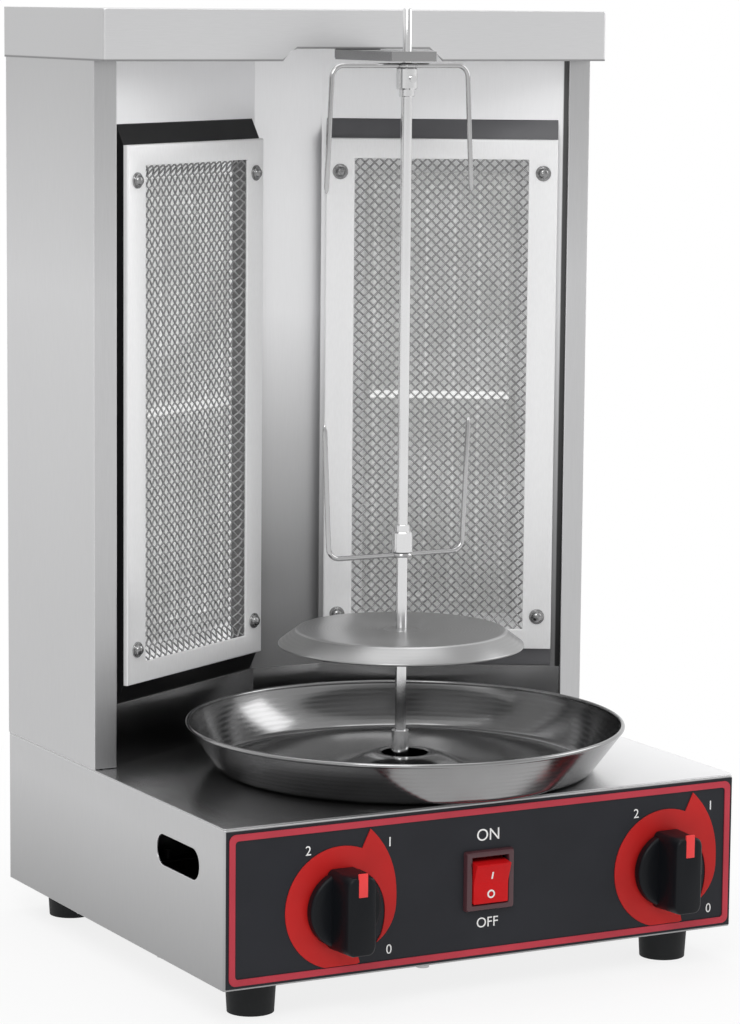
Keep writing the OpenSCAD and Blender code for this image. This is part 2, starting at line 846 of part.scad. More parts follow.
module deck_bush() {
    color("#b08d45") translate([0, spit_y, 0]) difference() {
        union() {
            translate([0, 0, plate_low + bush_gap])
                cylinder(d = bush_d, h = deck_z - plate_low - bush_gap);
            translate([0, 0, deck_z]) cylinder(d = bush_flange_d, h = bush_flange_t);
        }
        translate([0, 0, plate_low - over])
            cylinder(d = shaft_d + 2 * turn_gap,
                     h = deck_z + bush_flange_t - plate_low + 2 * over);
    }
}

module drive_hub() {
    color("#c4c6c8") translate([0, spit_y, 0]) difference() {
        translate([0, 0, hub_low]) cylinder(d = hub_d, h = deck_z + hub_top - hub_low);
        translate([0, 0, hub_low - over])
            cylinder(d = shaft_d, h = shaft_top - hub_low + over);
        translate([-square_w / 2 - turn_gap, -square_w / 2 - turn_gap, rod_low])
            cube([square_w + 2 * turn_gap, square_w + 2 * turn_gap, socket_depth + over]);
    }
}

// ---- spit ----

module spit_rod() {
    color("#cfd1d3") translate([0, spit_y, 0]) {
        translate([-square_w / 2, -square_w / 2, rod_low])
            cube([square_w, square_w, socket_depth + 1]);
        translate([0, 0, deck_z + hub_top])
            cylinder(d = rod_d, h = rod_shoulder - deck_z - hub_top);
        // shoulder that carries the meat plate
        translate([0, 0, deck_z + plate_z + plate_h - plate_t - boss_h - stop_h])
            cylinder(d = stop_d, h = stop_h);
        translate([0, 0, rod_shoulder])
            cylinder(d = rod_tip_d, h = top_z + rod_over - rod_shoulder);
    }
}

module meat_plate() {
    r0 = plate_d / 2;
    r1 = plate_top_d / 2;
    z0 = deck_z + plate_z;
    z1 = z0 + plate_h;
    bore_r = rod_d / 2 + turn_gap;
    color("#9a9b9c") translate([0, spit_y, 0]) {
        rotate_extrude()
            polygon([[bore_r, z1 - plate_t], [r1 - plate_t / 2, z1 - plate_t],
                     [r0 - plate_t * 1.5, z0], [r0, z0], [r1, z1], [bore_r, z1]]);
        translate([0, 0, z1 - plate_t - boss_h]) difference() {
            cylinder(d = boss_d, h = boss_h);
            translate([0, 0, -over]) cylinder(r = bore_r, h = boss_h + 2 * over);
        }
    }
}

// half of a fork: out from the ring, round a bend and up to a point
module prong(reach, length) {
    r = wire_d / 2;
    start = collar_d / 2 - 1;
    lean = asin(fork_splay / (length - fork_bend));
    bend_top = fork_bend * (1 - sin(lean));
    straight = (length - bend_top) / cos(lean) - prong_tip;
    translate([start, 0, 0]) rotate([0, 90, 0])
        cylinder(r = r, h = reach - fork_bend - start);
    translate([reach - fork_bend, 0, fork_bend]) rotate([90, 0, 0]) rotate([0, 0, -90])
        rotate_extrude(angle = 90 - lean) translate([fork_bend, 0]) circle(r);
    translate([reach - fork_bend * (1 - cos(lean)), 0, bend_top]) rotate([0, lean, 0]) {
        sphere(r + 0.15);
        cylinder(r = r, h = straight);
        translate([0, 0, straight]) cylinder(r1 = r, r2 = 0.5, h = prong_tip);
    }
}

// a U of wire welded to a ring; prongs run up from it
module fork(length) {
    bore_r = rod_d / 2 + turn_gap;
    rotate_extrude() translate([bore_r, -wire_d / 2])
        square([collar_d / 2 - bore_r, wire_d]);
    prong(fork_half - fork_shift, length);
    mirror([1, 0, 0]) prong(fork_half + fork_shift, length);
}

// a collar with its neck above it, standing on z = 0
module collar() {
    difference() {
        union() {
            cylinder(d = collar_d, h = collar_h);
            translate([0, 0, collar_h]) cylinder(d = neck_d, h = neck_h);
        }
        translate([0, 0, -over])
            cylinder(d = rod_d + 2 * turn_gap, h = collar_h + neck_h + 2 * over);
        translate([0, 0, collar_h / 2]) rotate([-90, 0, 0])
            cylinder(d = clamp_d, h = collar_d);
    }
}

module collar_screw() {
    translate([0, rod_d / 2 + turn_gap, collar_h / 2]) rotate([-90, 0, 0])
        cylinder(d = clamp_d, h = (collar_d - rod_d) / 2 + collar_screw_out);
}

module at_lower_fork() {
    translate([0, spit_y, deck_z + lower_fork_z]) children();
}

module at_upper_fork() {
    translate([0, spit_y, collar_top + wire_d / 2]) rotate([180, 0, 0]) children();
}

module lower_fork() {
    color("#c9cbcd") at_lower_fork() fork(lower_fork_len);
}

module lower_collar() {
    color("#c9cbcd") at_lower_fork() translate([0, 0, wire_d / 2]) collar();
}

module lower_collar_screw() {
    color("#8c8e90") at_lower_fork() translate([0, 0, wire_d / 2]) collar_screw();
}

module upper_fork() {
    color("#c9cbcd") at_upper_fork() fork(upper_fork_len);
}

module upper_collar() {
    color("#c9cbcd") at_upper_fork() translate([0, 0, wire_d / 2]) collar();
}

module upper_collar_screw() {
    color("#8c8e90") at_upper_fork() translate([0, 0, wire_d / 2]) collar_screw();
}

// the bar comes out through the cap's notch; its tab is welded under the top
module spit_bracket() {
    front = spit_y - bracket_reach;
    color("#c2c4c6") difference() {
        union() {
            translate([0, 0, bracket_low]) linear_extrude(bracket_t)
                round_rect(-bracket_w / 2, front, bracket_w / 2, tab_y + tab_t, 1);
            block([-bracket_w / 2, tab_y, bracket_low + 1],
                  [bracket_w / 2, tab_y + tab_t, roof_z]);
            block([-bracket_w / 2, tab_y, roof_z - tab_t],
                  [bracket_w / 2, tab_y + tab_t + tab_flange, roof_z]);
        }
        translate([0, spit_y, bracket_low - over])
            cylinder(d = rod_tip_d + 2 * turn_gap, h = bracket_t + 2 * over);
    }
}

// ---- drip pan ----

function pan_arc(r) = [for (i = [0 : 6]) let (a = pan_slope * i / 6)
    [pan_foot_r + r * sin(a), pan_fillet - r * cos(a)]];
function reversed(list) = [for (i = [len(list) - 1 : -1 : 0]) list[i]];

module drip_pan() {
    w = pan_wall;
    outer = pan_arc(pan_fillet);
    inner = pan_arc(pan_fillet - w);
    color("#c3c5c7") translate([pan_shift, spit_y, deck_z]) {
        rotate_extrude($fn = 96) polygon(concat(
            [[pan_hole_r, hill_h - w], [hill_top_r, hill_h - w], [hill_d / 2, 0]],
            outer, [[pan_r, pan_h], [pan_r - w / sin(pan_slope), pan_h]],
            reversed(inner),
            [[hill_d / 2, w], [hill_top_r, hill_h], [pan_hole_r, hill_h]]));
        rotate_extrude($fn = 96) translate([pan_r - w / 2, pan_h]) circle(d = pan_bead);
    }
}

// ---- hood ----

module side_panel() {
    color("#b4b6b8") difference() {
        union() {
            block([-half_w, hood_y, deck_z], [-half_w + sheet, base_d, roof_z]);
            block([-half_w, hood_y, deck_z + flange_gap],
                  [-half_w + flange_w, hood_y + sheet, roof_z]);
            block([-half_w, base_d - sheet, deck_z], [-half_w + flange_w, base_d, roof_z]);
            block([-half_w, hood_y + 9, deck_z],
                  [-half_w + side_lip, base_d - 2 * sheet - fit_gap, deck_z + sheet]);
        }
        side_screw_places() screw_hole();
        back_screw_places() screw_hole();
    }
}

module left_side_panel() {
    side_panel();
}

module right_side_panel() {
    mirror([1, 0, 0]) side_panel();
}

module back_panel() {
    y1 = base_d - sheet;
    x1 = half_w - sheet - fit_gap;
    color("#a9abad") difference() {
        block([-x1, y1 - sheet, deck_z], [x1, y1, roof_z]);
        back_screw_places() screw_hole();
        for (s = [-1, 1])
            translate([s * cap_screw_x, base_d, cap_screw_z]) rotate([90, 0, 0])
                screw_hole();
        for (s = [-1, 1], i = [0 : vent_rows - 1]) {
            z = cap_z - vent_top - vent_pitch * i;
            translate([0, y1 + over, 0]) rotate([90, 0, 0])
                linear_extrude(sheet + 2 * over)
                    round_rect(s * vent_x - vent_w / 2, z,
                               s * vent_x + vent_w / 2, z + vent_h, vent_h / 2 - 0.1);
        }
    }
}

module cap() {
    y0 = hood_y - cap_front;
    y1 = base_d + sheet;
    x1 = half_w + sheet;
    color("#bfc1c3") difference() {
        translate([0, 0, cap_z]) linear_extrude(cap_h)
            round_rect(-x1, y0, x1, y1, corner_r);
        block([-x1 + sheet, y0 + sheet, cap_z - over], [x1 - sheet, y1 - sheet, roof_z]);
        translate([0, y0 + sheet + over, cap_z]) rotate([90, 0, 0])
            linear_extrude(sheet + 2 * over)
                polygon([[-notch_w / 2, -over], [-notch_w / 2, 0],
                         [-notch_w / 2 + 5, notch_h - 1.5], [-notch_w / 2 + 9, notch_h],
                         [notch_w / 2 - 9, notch_h], [notch_w / 2 - 5, notch_h - 1.5],
                         [notch_w / 2, 0], [notch_w / 2, -over]]);
        cap_screw_places() screw_hole();
    }
}

module heater_opening() {
    gap = pass_gap;
    block([wall_in - tray_t - gap, frame_proud - over, tray_end - tray_t - gap],
          [frame_w - wall_in + tray_t + gap, frame_proud + sheet + over + 6,
           frame_h - tray_end + tray_t + gap]);
}

module bolt_holes() {
    frame_bolt_places() rotate([-90, 0, 0]) translate([0, 0, frame_proud - over])
        cylinder(d = bolt_d + screw_gap, h = sheet + 2 * over);
}

module liner() {
    color("#cbccce") difference() {
        translate([0, 0, deck_z]) linear_extrude(roof_z - deck_z)
            polygon(wing_outline(frame_proud, sheet));
        at_left_heater() heater_opening();
        at_right_heater() heater_opening();
        at_left_heater() bolt_holes();
        at_right_heater() bolt_holes();
    }
}

module lower_skirt() {
    color("#2a2b2d") translate([0, 0, deck_z])
        linear_extrude(frame_z - bezel_rise - 0.3)
            polygon(wing_outline(frame_proud - sheet, sheet));
}

// ---- heaters ----

module heater_box() {
    color("#1f2022") difference() {
        union() {
            // sloped bezel in front of the reflector
            rotate([90, 0, 90]) linear_extrude(frame_w)
                polygon([[frame_lip, 0], [frame_proud, -bezel_rise],
                         [frame_proud, frame_h + bezel_rise], [frame_lip, frame_h]]);
            block([frame_t, mesh_y + mesh_t, frame_t],
                  [frame_w - frame_t, frame_lip, frame_h - frame_t]);
            block([wall_in - tray_t, frame_lip, tray_end - tray_t],
                  [frame_w - wall_in + tray_t, box_depth, frame_h - tray_end + tray_t]);
        }
        block([wall_in, -over, tray_end],
              [frame_w - wall_in, box_depth - tray_t, frame_h - tray_end]);
        frame_bolt_places() rotate([-90, 0, 0])
            cylinder(d = bolt_d, h = bolt_len);
        element_pins(pass_gap, box_depth + over);
    }
}

module element_pins(gap, back) {
    for (x = [element_x0, frame_w - element_x0])
        translate([x, element_y, frame_h / 2 - element_half_h]) rotate([-90, 0, 0])
            cylinder(d = pin_d + 2 * gap, h = back - element_y);
}

module ceramic_plates() {
    x0 = (frame_w - ceramic_w) / 2;
    color("#e6e0d2") for (z = [frame_h / 2 + seam_gap, frame_h / 2 - seam_gap - ceramic_h])
        difference() {
            block([x0, ceramic_y, z], [x0 + ceramic_w, ceramic_y + ceramic_t, z + ceramic_h]);
            element_pins(pass_gap, box_depth);
        }
}

module element() {
    z0 = frame_h / 2 - element_half_h;
    z1 = frame_h / 2 + element_half_h;
    color("#7d7a76") {
        for (i = [0 : element_runs - 1]) {
            x = element_x0 + i * element_pitch;
            block([x - element_w / 2, element_y, z0 - element_w / 2],
                  [x + element_w / 2, ceramic_y, z1 + element_w / 2]);
        }
        for (i = [0 : element_runs - 2]) {
            x = element_x0 + i * element_pitch;
            z = i % 2 == 0 ? z1 : z0;
            block([x, element_y, z - element_w / 2],
                  [x + element_pitch, ceramic_y, z + element_w / 2]);
        }
        element_pins(0, pin_back);
    }
}

// bar behind the mesh over the joint of the two plates
module seam_strip() {
    x0 = (frame_w - seam_w) / 2;
    block([x0, mesh_back, frame_h / 2 - seam_h / 2],
          [x0 + seam_w, mesh_back + seam_t, frame_h / 2 + seam_h / 2]);
}

module mesh_openings_2d() {
    x0 = frame_side + mesh_slope;
    z0 = frame_end + mesh_slope;
    px = (frame_w - 2 * x0) / mesh_cols;
    pz = (frame_h - 2 * z0) / mesh_rows;
    rib = 0.86;
    for (i = [0 : mesh_cols - 1], j = [0 : mesh_rows - 1])
        translate([x0 + (i + 0.5) * px, z0 + (j + 0.5) * pz])
            polygon([[-px * rib / 2, 0], [0, -pz * rib / 2], [px * rib / 2, 0],
                     [0, pz * rib / 2]]);
}

module mesh() {
    y = mesh_y;
    rim = [frame_side, frame_end];
    color("#8f9193") difference() {
        union() {
            block([mesh_edge, y, mesh_edge],
                  [frame_w - mesh_edge, y + mesh_t, frame_h - mesh_edge]);
            dish(rim, y + mesh_t / 2, mesh_t, mesh_dish + mesh_t / 2, mesh_slope);
        }
        dish(rim + [1, 1], y - 0.01, mesh_t, mesh_dish, mesh_slope);
        frame_bolt_places() rotate([-90, 0, 0])
            translate([0, 0, -over]) cylinder(d = bolt_d + screw_gap, h = y + mesh_t + 2 * over);
        translate([0, mesh_back + over, 0]) rotate([90, 0, 0])
            linear_extrude(mesh_back + 2 * over) mesh_openings_2d();
    }
}

module heater_frame() {
    color("#d2d4d6") difference() {
        block([0, 0, 0], [frame_w, frame_lip, frame_h]);
        block([frame_t, frame_t, frame_t],
              [frame_w - frame_t, frame_lip + over, frame_h - frame_t]);
        block([frame_side, -over, frame_end],
              [frame_w - frame_side, frame_lip, frame_h - frame_end]);
        frame_bolt_places() rotate([-90, 0, 0])
            translate([0, 0, -over]) cylinder(d = bolt_d + screw_gap, h = frame_t + 2 * over);
    }
}

module frame_bolt() {
    rotate([90, 0, 0]) {
        cylinder(d = washer_d, h = washer_t);
        cylinder(d = bolt_head_d, h = washer_t + bolt_head_h);
        translate([0, 0, -bolt_len]) cylinder(d = bolt_d, h = bolt_len);
    }
}

module frame_bolts() {
    color("#8b8d90") {
        at_left_heater() frame_bolt_places() frame_bolt();
        at_right_heater() frame_bolt_places() frame_bolt();
    }
}

// ---- fasteners and inner parts ----

module case_screws() {
    color("#9b9da0") {
        bottom_screw_places() case_screw();
        side_screw_places() case_screw();
        back_screw_places() case_screw();
        cap_screw_places() case_screw();
        motor_screw_places() case_screw(ear_t + bracket_sheet + sheet);
    }
}

module terminal_block() {
    a = [block_at[0], block_at[1], foot_base + sheet];
    color("#e4e0d6") difference() {
        block(a, a + block_size);
        for (i = [0 : 4])
            translate(a + [(i + 0.5) * block_pitch, block_size[1] / 2,
                           block_size[2] - block_hole_d])
                cylinder(d = block_hole_d, h = block_hole_d + over);
    }
}

// a lead along straight runs, with a square crimp block at each bend
module lead(points, d = lead_d) {
    for (i = [0 : len(points) - 2]) {
        v = points[i + 1] - points[i];
        turn = [0, acos(v[2] / norm(v)), atan2(v[1], v[0])];
        translate(points[i]) rotate(turn) cylinder(d = d, h = norm(v));
        if (i > 0) translate(points[i]) cube(d + crimp, center = true);
    }
}

// left heater's leads; the right ones mirror them
module heater_leads() {
    for (i = [0, 1]) {
        x = i == 0 ? element_x0 : frame_w - element_x0;
        end = heater_point([x, pin_back, frame_h / 2 - element_half_h]);
        clear = heater_point([x, pin_back + lead_gap, frame_h / 2 - element_half_h]);
        down = (2 * i - 1) * 3 - wire_hole_x;
        lead([end, clear, [down, wire_y, clear[2]], [down, wire_y, bus_z]]);
    }
}

// x of a screw of the terminal block
function block_x(i) = block_at[0] + (i + 0.5) * block_pitch;

// from a regulator along the base to the heater's leads and the block
module regulator_lead(x, end_x) {
    lead([[x, sheet + regulator_d, bus_z], [x, wire_y, bus_z], [end_x, wire_y, bus_z],
          [end_x, wire_y, block_top]], bus_d);
}

// from the switch round the motor to the block
module switch_lead() {
    z = switch_lead_z;
    lead([[0, switch_depth, z], [0, switch_lead_ys[0], z],
          [switch_lead_x, switch_lead_ys[0], z], [switch_lead_x, switch_lead_ys[1], z],
          [block_x(1), switch_lead_ys[1], z], [block_x(1), wire_y, z],
          [block_x(1), wire_y, block_top]]);
}

module wiring() {
    color("#b5402f") {
        heater_leads();
        mirror([1, 0, 0]) heater_leads();
        regulator_lead(left_knob_x, block_x(0));
        regulator_lead(right_knob_x, block_x(2));
        switch_lead();
    }
}

module cord_gland() {
    color("#232325") translate([gland_x, base_d, foot_base + gland_z])
        rotate([-90, 0, 0]) difference() {
            union() {
                cylinder(d = gland_hex, h = gland_hex_t, $fn = 6);
                translate([0, 0, gland_hex_t])
                    cylinder(d1 = gland_cap_d[0], d2 = gland_cap_d[1],
                             h = gland_out - gland_hex_t);
                translate([0, 0, -sheet - gland_in])
                    cylinder(d = gland_thread_d, h = sheet + gland_in);
                translate([0, 0, -sheet - gland_hex_t])
                    cylinder(d = gland_hex - 1, h = gland_hex_t, $fn = 6);
            }
            translate([0, 0, -sheet - gland_in - over])
                cylinder(d = gland_bore_d, h = gland_out + sheet + gland_in + 2 * over);
        }
}

placed() base_shell();
placed() deck_plate();
placed() bottom_plate();
placed() foot(left_x, foot_y);  // foot_front_left
placed() foot(right_x, foot_y);  // foot_front_right
placed() foot(left_x, rear_y);  // foot_rear_left
placed() foot(right_x, rear_y);  // foot_rear_right
placed() foot_screws();
placed() front_panel();
placed() panel_border();
placed() power_marks();
placed() knob(left_knob_x);  // left_knob
placed() knob(right_knob_x);  // right_knob
placed() knob_pointer(left_knob_x);  // left_knob_pointer
placed() knob_pointer(right_knob_x);  // right_knob_pointer
placed() regulator(left_knob_x);  // left_regulator
placed() regulator(right_knob_x);  // right_regulator
placed() regulator_shaft(left_knob_x);  // left_regulator_shaft
placed() regulator_shaft(right_knob_x);  // right_regulator_shaft
placed() regulator_nuts();
placed() switch_bezel();
placed() switch_body();
placed() switch_rocker();
placed() gear_motor();
placed() motor_bracket();
placed() motor_shaft();
placed() deck_bush();
placed() drive_hub();
placed() drip_pan();
placed() spit_rod();
placed() meat_plate();
placed() lower_fork();
placed() lower_collar();
placed() lower_collar_screw();
placed() upper_fork();
placed() upper_collar();
placed() upper_collar_screw();
placed() spit_bracket();
placed() left_side_panel();
placed() right_side_panel();
placed() back_panel();
placed() cap();
placed() liner();
placed() lower_skirt();
placed() at_left_heater() heater_box();  // left_heater_box
placed() at_right_heater() heater_box();  // right_heater_box
placed() at_left_heater() element();  // left_element
placed() at_right_heater() element();  // right_element
placed() at_left_heater() ceramic_plates();  // left_ceramic_plates
placed() at_right_heater() ceramic_plates();  // right_ceramic_plates
placed() color("#e8eaec") {  // seam_strips
    at_left_heater() seam_strip();
    at_right_heater() seam_strip();
}
placed() at_left_heater() mesh();  // left_mesh
placed() at_right_heater() mesh();  // right_mesh
placed() at_left_heater() heater_frame();  // left_frame
placed() at_right_heater() heater_frame();  // right_frame
placed() frame_bolts();
placed() case_screws();
placed() terminal_block();
placed() wiring();
placed() cord_gland();
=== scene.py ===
"""Looks of the electric skewer grill, built around its CAD frame. Lengths are in metres."""

import math

import bmesh
import bpy
from mathutils import Matrix, Vector


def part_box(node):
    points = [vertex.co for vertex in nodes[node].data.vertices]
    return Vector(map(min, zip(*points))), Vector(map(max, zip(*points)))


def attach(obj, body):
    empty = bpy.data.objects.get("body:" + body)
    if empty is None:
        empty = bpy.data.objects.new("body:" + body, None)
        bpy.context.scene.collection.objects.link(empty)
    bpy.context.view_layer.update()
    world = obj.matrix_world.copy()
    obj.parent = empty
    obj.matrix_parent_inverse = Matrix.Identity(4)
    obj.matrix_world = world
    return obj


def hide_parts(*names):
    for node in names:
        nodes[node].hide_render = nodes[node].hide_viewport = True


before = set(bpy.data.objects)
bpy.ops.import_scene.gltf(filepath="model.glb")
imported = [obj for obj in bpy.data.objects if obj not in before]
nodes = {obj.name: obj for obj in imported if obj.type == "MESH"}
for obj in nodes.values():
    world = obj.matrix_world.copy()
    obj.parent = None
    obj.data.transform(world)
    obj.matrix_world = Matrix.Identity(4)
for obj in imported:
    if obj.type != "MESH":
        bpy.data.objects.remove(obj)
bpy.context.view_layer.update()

MM = 0.001

# ---- sizes that follow the CAD source ----

HEATER_TURN = math.radians(30)
FRAME_W = 138.5 * MM
FRAME_LIP = 3.4 * MM
FRAME_SIDE = 17.3 * MM
FRAME_END = 12 * MM
FRAME_T = 1.2 * MM
MESH_SLOPE = 7 * MM
MESH_DISH = 4 * MM
BOLT_SIDE = FRAME_SIDE / 2     # the bolts' places, from the frame's edges
BOLT_END = 20 * MM
TRAY_SIDE = 12.6 * MM          # from the frame's edge to the tray's lining
TRAY_END = 7.6 * MM
# nearer the frame than this, the lining is darkened as painted shade
TRAY_DARK = 13.6 * MM          # the lining starts this deep
WIRE_PITCH = 5.75 * MM         # between the mesh's wires, along x or z
WIRE_R = 0.56 * MM
MESH_TUCK = 3 * MM             # the mesh runs this far in behind the frame
FLANGE_W = 14 * MM             # of the hood's front flanges
NOTCH_HALF = 52 * MM           # the notch in the cap's front edge
NOTCH_H = 7 * MM
NOTCH_RAMP = 9 * MM
KNOB_R = 21.5 * MM
KNOB_BASE = 6 * MM
KNOB_H = 24.2 * MM
ROCKER_REST = math.radians(9)

# ---- weak glows that stand in for the photograph's own light ----

PLATE_GLOW = {"left": 0.26, "right": 0.05}  # of the white plates behind the mesh
TRAY_GLOW = {"left": 0.28, "right": 0.14}   # of the tray's lining round them
# painted shade: nearer the frame the lining keeps only this share, less in the left heater
TRAY_SHALLOW_SHADE = {"left": 0.18, "right": 0.6}  # share of the lining left near the frame
STRIP_GLOW = 0.25

# ---- places taken from the frame ----

frame_low, frame_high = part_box("left_frame")
FRAME_H = frame_high.z - frame_low.z
heater_corner = Vector((
    frame_low.x + FRAME_LIP * math.sin(HEATER_TURN), frame_low.y, frame_low.z))
LEFT_HEATER = Matrix.Translation(heater_corner) @ Matrix.Rotation(HEATER_TURN, 4, "Z")
RIGHT_HEATER = Matrix.Scale(-1, 4, (1, 0, 0)) @ LEFT_HEATER

rod_low, rod_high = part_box("spit_rod")
SPIT = Vector(((rod_low.x + rod_high.x) / 2, (rod_low.y + rod_high.y) / 2, 0))
pan_low, pan_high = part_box("drip_pan")
PAN = Vector(((pan_low.x + pan_high.x) / 2, (pan_low.y + pan_high.y) / 2, 0))
panel_low, panel_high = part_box("front_panel")
WALL_Y = panel_high.y
PANEL_Y = panel_low.y
FLANGE_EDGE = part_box("right_side_panel")[1].x - FLANGE_W
cap_low, cap_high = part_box("cap")
switch_low, switch_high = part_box("switch_bezel")
SWITCH = Vector(((switch_low.x + switch_high.x) / 2, switch_high.y,
                 (switch_low.z + switch_high.z) / 2))


# ---- mesh helpers ----

def finish_mesh(name, mesh, material, angle=32):
    """A smooth-shaded object with sharp edges where its faces turn by more than angle."""
    mesh.shade_smooth()
    mesh.set_sharp_from_angle(angle=math.radians(angle))
    obj = bpy.data.objects.new(name, mesh)
    bpy.context.scene.collection.objects.link(obj)
    mesh.materials.append(material)
    return obj


def from_bmesh(name, bm, material, angle=32, matrix=None):
    if matrix is not None:
        bm.transform(matrix)
        if matrix.determinant() < 0:
            bmesh.ops.reverse_faces(bm, faces=bm.faces[:])
    mesh = bpy.data.meshes.new(name)
    bm.to_mesh(mesh)
    bm.free()
    return finish_mesh(name, mesh, material, angle)


def from_lists(name, verts, faces, material, angle=60, matrix=None):
    mesh = bpy.data.meshes.new(name)
    mesh.from_pydata(verts, [], faces)
    if matrix is not None:
        mesh.transform(matrix)
        if matrix.determinant() < 0:
            mesh.flip_normals()
    mesh.update()
    return finish_mesh(name, mesh, material, angle)


def dress(obj, body, slot, *replaced):
    """Rides on the body, and stands for the CAD nodes named; its slot is not used."""
    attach(obj, body)
    if replaced:
        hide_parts(*replaced)
    return obj


def add_box(bm, low, high, bevel=0.0, segments=2):
    """A box between two corners, with all of its edges rounded."""
    made = bmesh.ops.create_cube(bm, size=1)["verts"]
    low, high = Vector(low), Vector(high)
    for v in made:
        v.co = Vector(low[i] if v.co[i] < 0 else high[i] for i in range(3))
    if bevel:
        edges = list({e for v in made for e in v.link_edges})
        bmesh.ops.bevel(bm, geom=edges, offset=bevel, segments=segments,
                        affect="EDGES", profile=0.5)


def lathe_lists(profile, steps=128):
    """Vertices and faces of a profile of (radius, height) turned round Z."""
    verts, faces = [], []
    count = len(profile)
    for s in range(steps):
        a = 2 * math.pi * s / steps
        verts += [(r * math.cos(a), r * math.sin(a), z) for r, z in profile]
    for s in range(steps):
        t = (s + 1) % steps
        for i in range(count - 1):
            faces.append((s * count + i, t * count + i, t * count + i + 1, s * count + i + 1))
    return verts, faces


def lathe(name, profile, steps, material, angle, matrix):
    verts, faces = lathe_lists(profile, steps)
    return from_lists(name, verts, faces, material, angle, matrix)


def bridge(bm, loops):
    """Quads between each closed loop of vertices and the next one."""
    for a, b in zip(loops, loops[1:]):
        for i in range(len(a)):
            j = (i + 1) % len(a)
            bm.faces.new((a[i], a[j], b[j], b[i]))


def arc(centre, radius, start, end, steps):
    """Points of a circular arc, with its angles in degrees."""
    return [(centre[0] + radius * math.cos(math.radians(start + (end - start) * i / steps)),
             centre[1] + radius * math.sin(math.radians(start + (end - start) * i / steps)))
            for i in range(steps + 1)]


def tube_lists(paths, radius, sides):
    """Round tubes along paths, each a list of (point, radius share)."""
    verts, faces = [], []
    for path in paths:
        base = len(verts)
        last = None
        for i, (point, share) in enumerate(path):
            ahead = path[min(i + 1, len(path) - 1)][0] - path[max(i - 1, 0)][0]
            ahead.normalize()
            side = last - ahead * last.dot(ahead) if last else ahead.orthogonal()
            side.normalize()
            last = side
            up = ahead.cross(side)
            for s in range(sides):
                a = 2 * math.pi * s / sides
                verts.append(point + (side * math.cos(a) + up * math.sin(a)) * radius * share)
        for i in range(len(path) - 1):
            for s in range(sides):
                t = (s + 1) % sides
                a, b = base + i * sides, base + (i + 1) * sides
                faces.append((a + s, a + t, b + t, b + s))
        faces.append(tuple(base + s for s in reversed(range(sides))))
        top = base + (len(path) - 1) * sides
        faces.append(tuple(top + s for s in range(sides)))
    return verts, faces


def join(name, parts):
    """One object from several, which keeps their materials."""
    bpy.ops.object.select_all(action="DESELECT")
    for part in parts:
        part.select_set(True)
    bpy.context.view_layer.objects.active = parts[0]
    bpy.ops.object.join()
    parts[0].name = name
    return parts[0]


# ---- materials ----

MIX_SHARE, MIX_A, MIX_B, MIX_RESULT = 0, 6, 7, 2   # sockets of a Mix node for colours


def node_material(name):
    material = bpy.data.materials.new(name)
    material.use_nodes = True
    tree = material.node_tree
    return material, tree, tree.nodes["Principled BSDF"]


def object_point(tree):
    """The shaded point in the object's own metres."""
    return tree.nodes.new("ShaderNodeTexCoord").outputs["Object"]


def map_point(tree, kind="POINT", **values):
    """The same point through a Mapping node."""
    mapping = tree.nodes.new("ShaderNodeMapping")
    mapping.vector_type = kind
    for name, value in values.items():
        mapping.inputs[name].default_value = value
    tree.links.new(object_point(tree), mapping.inputs["Vector"])
    return mapping.outputs["Vector"]


def split_axes(tree, vector):
    split = tree.nodes.new("ShaderNodeSeparateXYZ")
    tree.links.new(vector, split.inputs["Vector"])
    return split.outputs


def add_noise(tree, stretch, scale, detail=4.0):
    """Noise in the object's own metres, stretched along its axes."""
    noise = tree.nodes.new("ShaderNodeTexNoise")
    noise.inputs["Scale"].default_value = scale
    noise.inputs["Detail"].default_value = detail
    tree.links.new(map_point(tree, Scale=stretch), noise.inputs["Vector"])
    return noise.outputs["Fac"]


def add_rings(tree, axis):
    """Fine rings round an upright axis, as spinning leaves them."""
    wave = tree.nodes.new("ShaderNodeTexWave")
    wave.wave_type = "RINGS"
    wave.rings_direction = "Z"
    for name, value in (("Scale", 160.0), ("Distortion", 1.5), ("Detail", 2.0)):
        wave.inputs[name].default_value = value
    centred = map_point(tree, Location=(-axis.x, -axis.y, 0))
    tree.links.new(centred, wave.inputs["Vector"])
    return wave.outputs["Fac"]


def add_ramp(tree, value, stops):
    ramp = tree.nodes.new("ShaderNodeValToRGB")
    elements = ramp.color_ramp.elements
    while len(elements) < len(stops):
        elements.new(0.5)
    for element, (place, colour) in zip(elements, stops):
        element.position = place
        element.color = colour if len(colour) == 4 else (*colour, 1)
    tree.links.new(value, ramp.inputs["Fac"])
    return ramp.outputs["Color"]


def add_range(tree, value, low, high, start=0.0, end=1.0, ease="LINEAR"):
    """Maps the span from start to end onto the one from low to high."""
    span = tree.nodes.new("ShaderNodeMapRange")
    span.interpolation_type = ease
    span.inputs["From Min"].default_value = start
    span.inputs["From Max"].default_value = end
    span.inputs["To Min"].default_value = low
    span.inputs["To Max"].default_value = high
    tree.links.new(value, span.inputs["Value"])
    return span.outputs["Result"]


def feed(tree, socket, value):
    """Gives a socket a number, or another node's output."""
    if isinstance(value, (int, float)):
        socket.default_value = value
    else:
        tree.links.new(value, socket)


def add_math(tree, operation, *values, kind="ShaderNodeMath"):
    node = tree.nodes.new(kind)
    node.operation = operation
    for socket, value in zip(node.inputs, values):
        feed(tree, socket, value)
    return node.outputs["Value"]


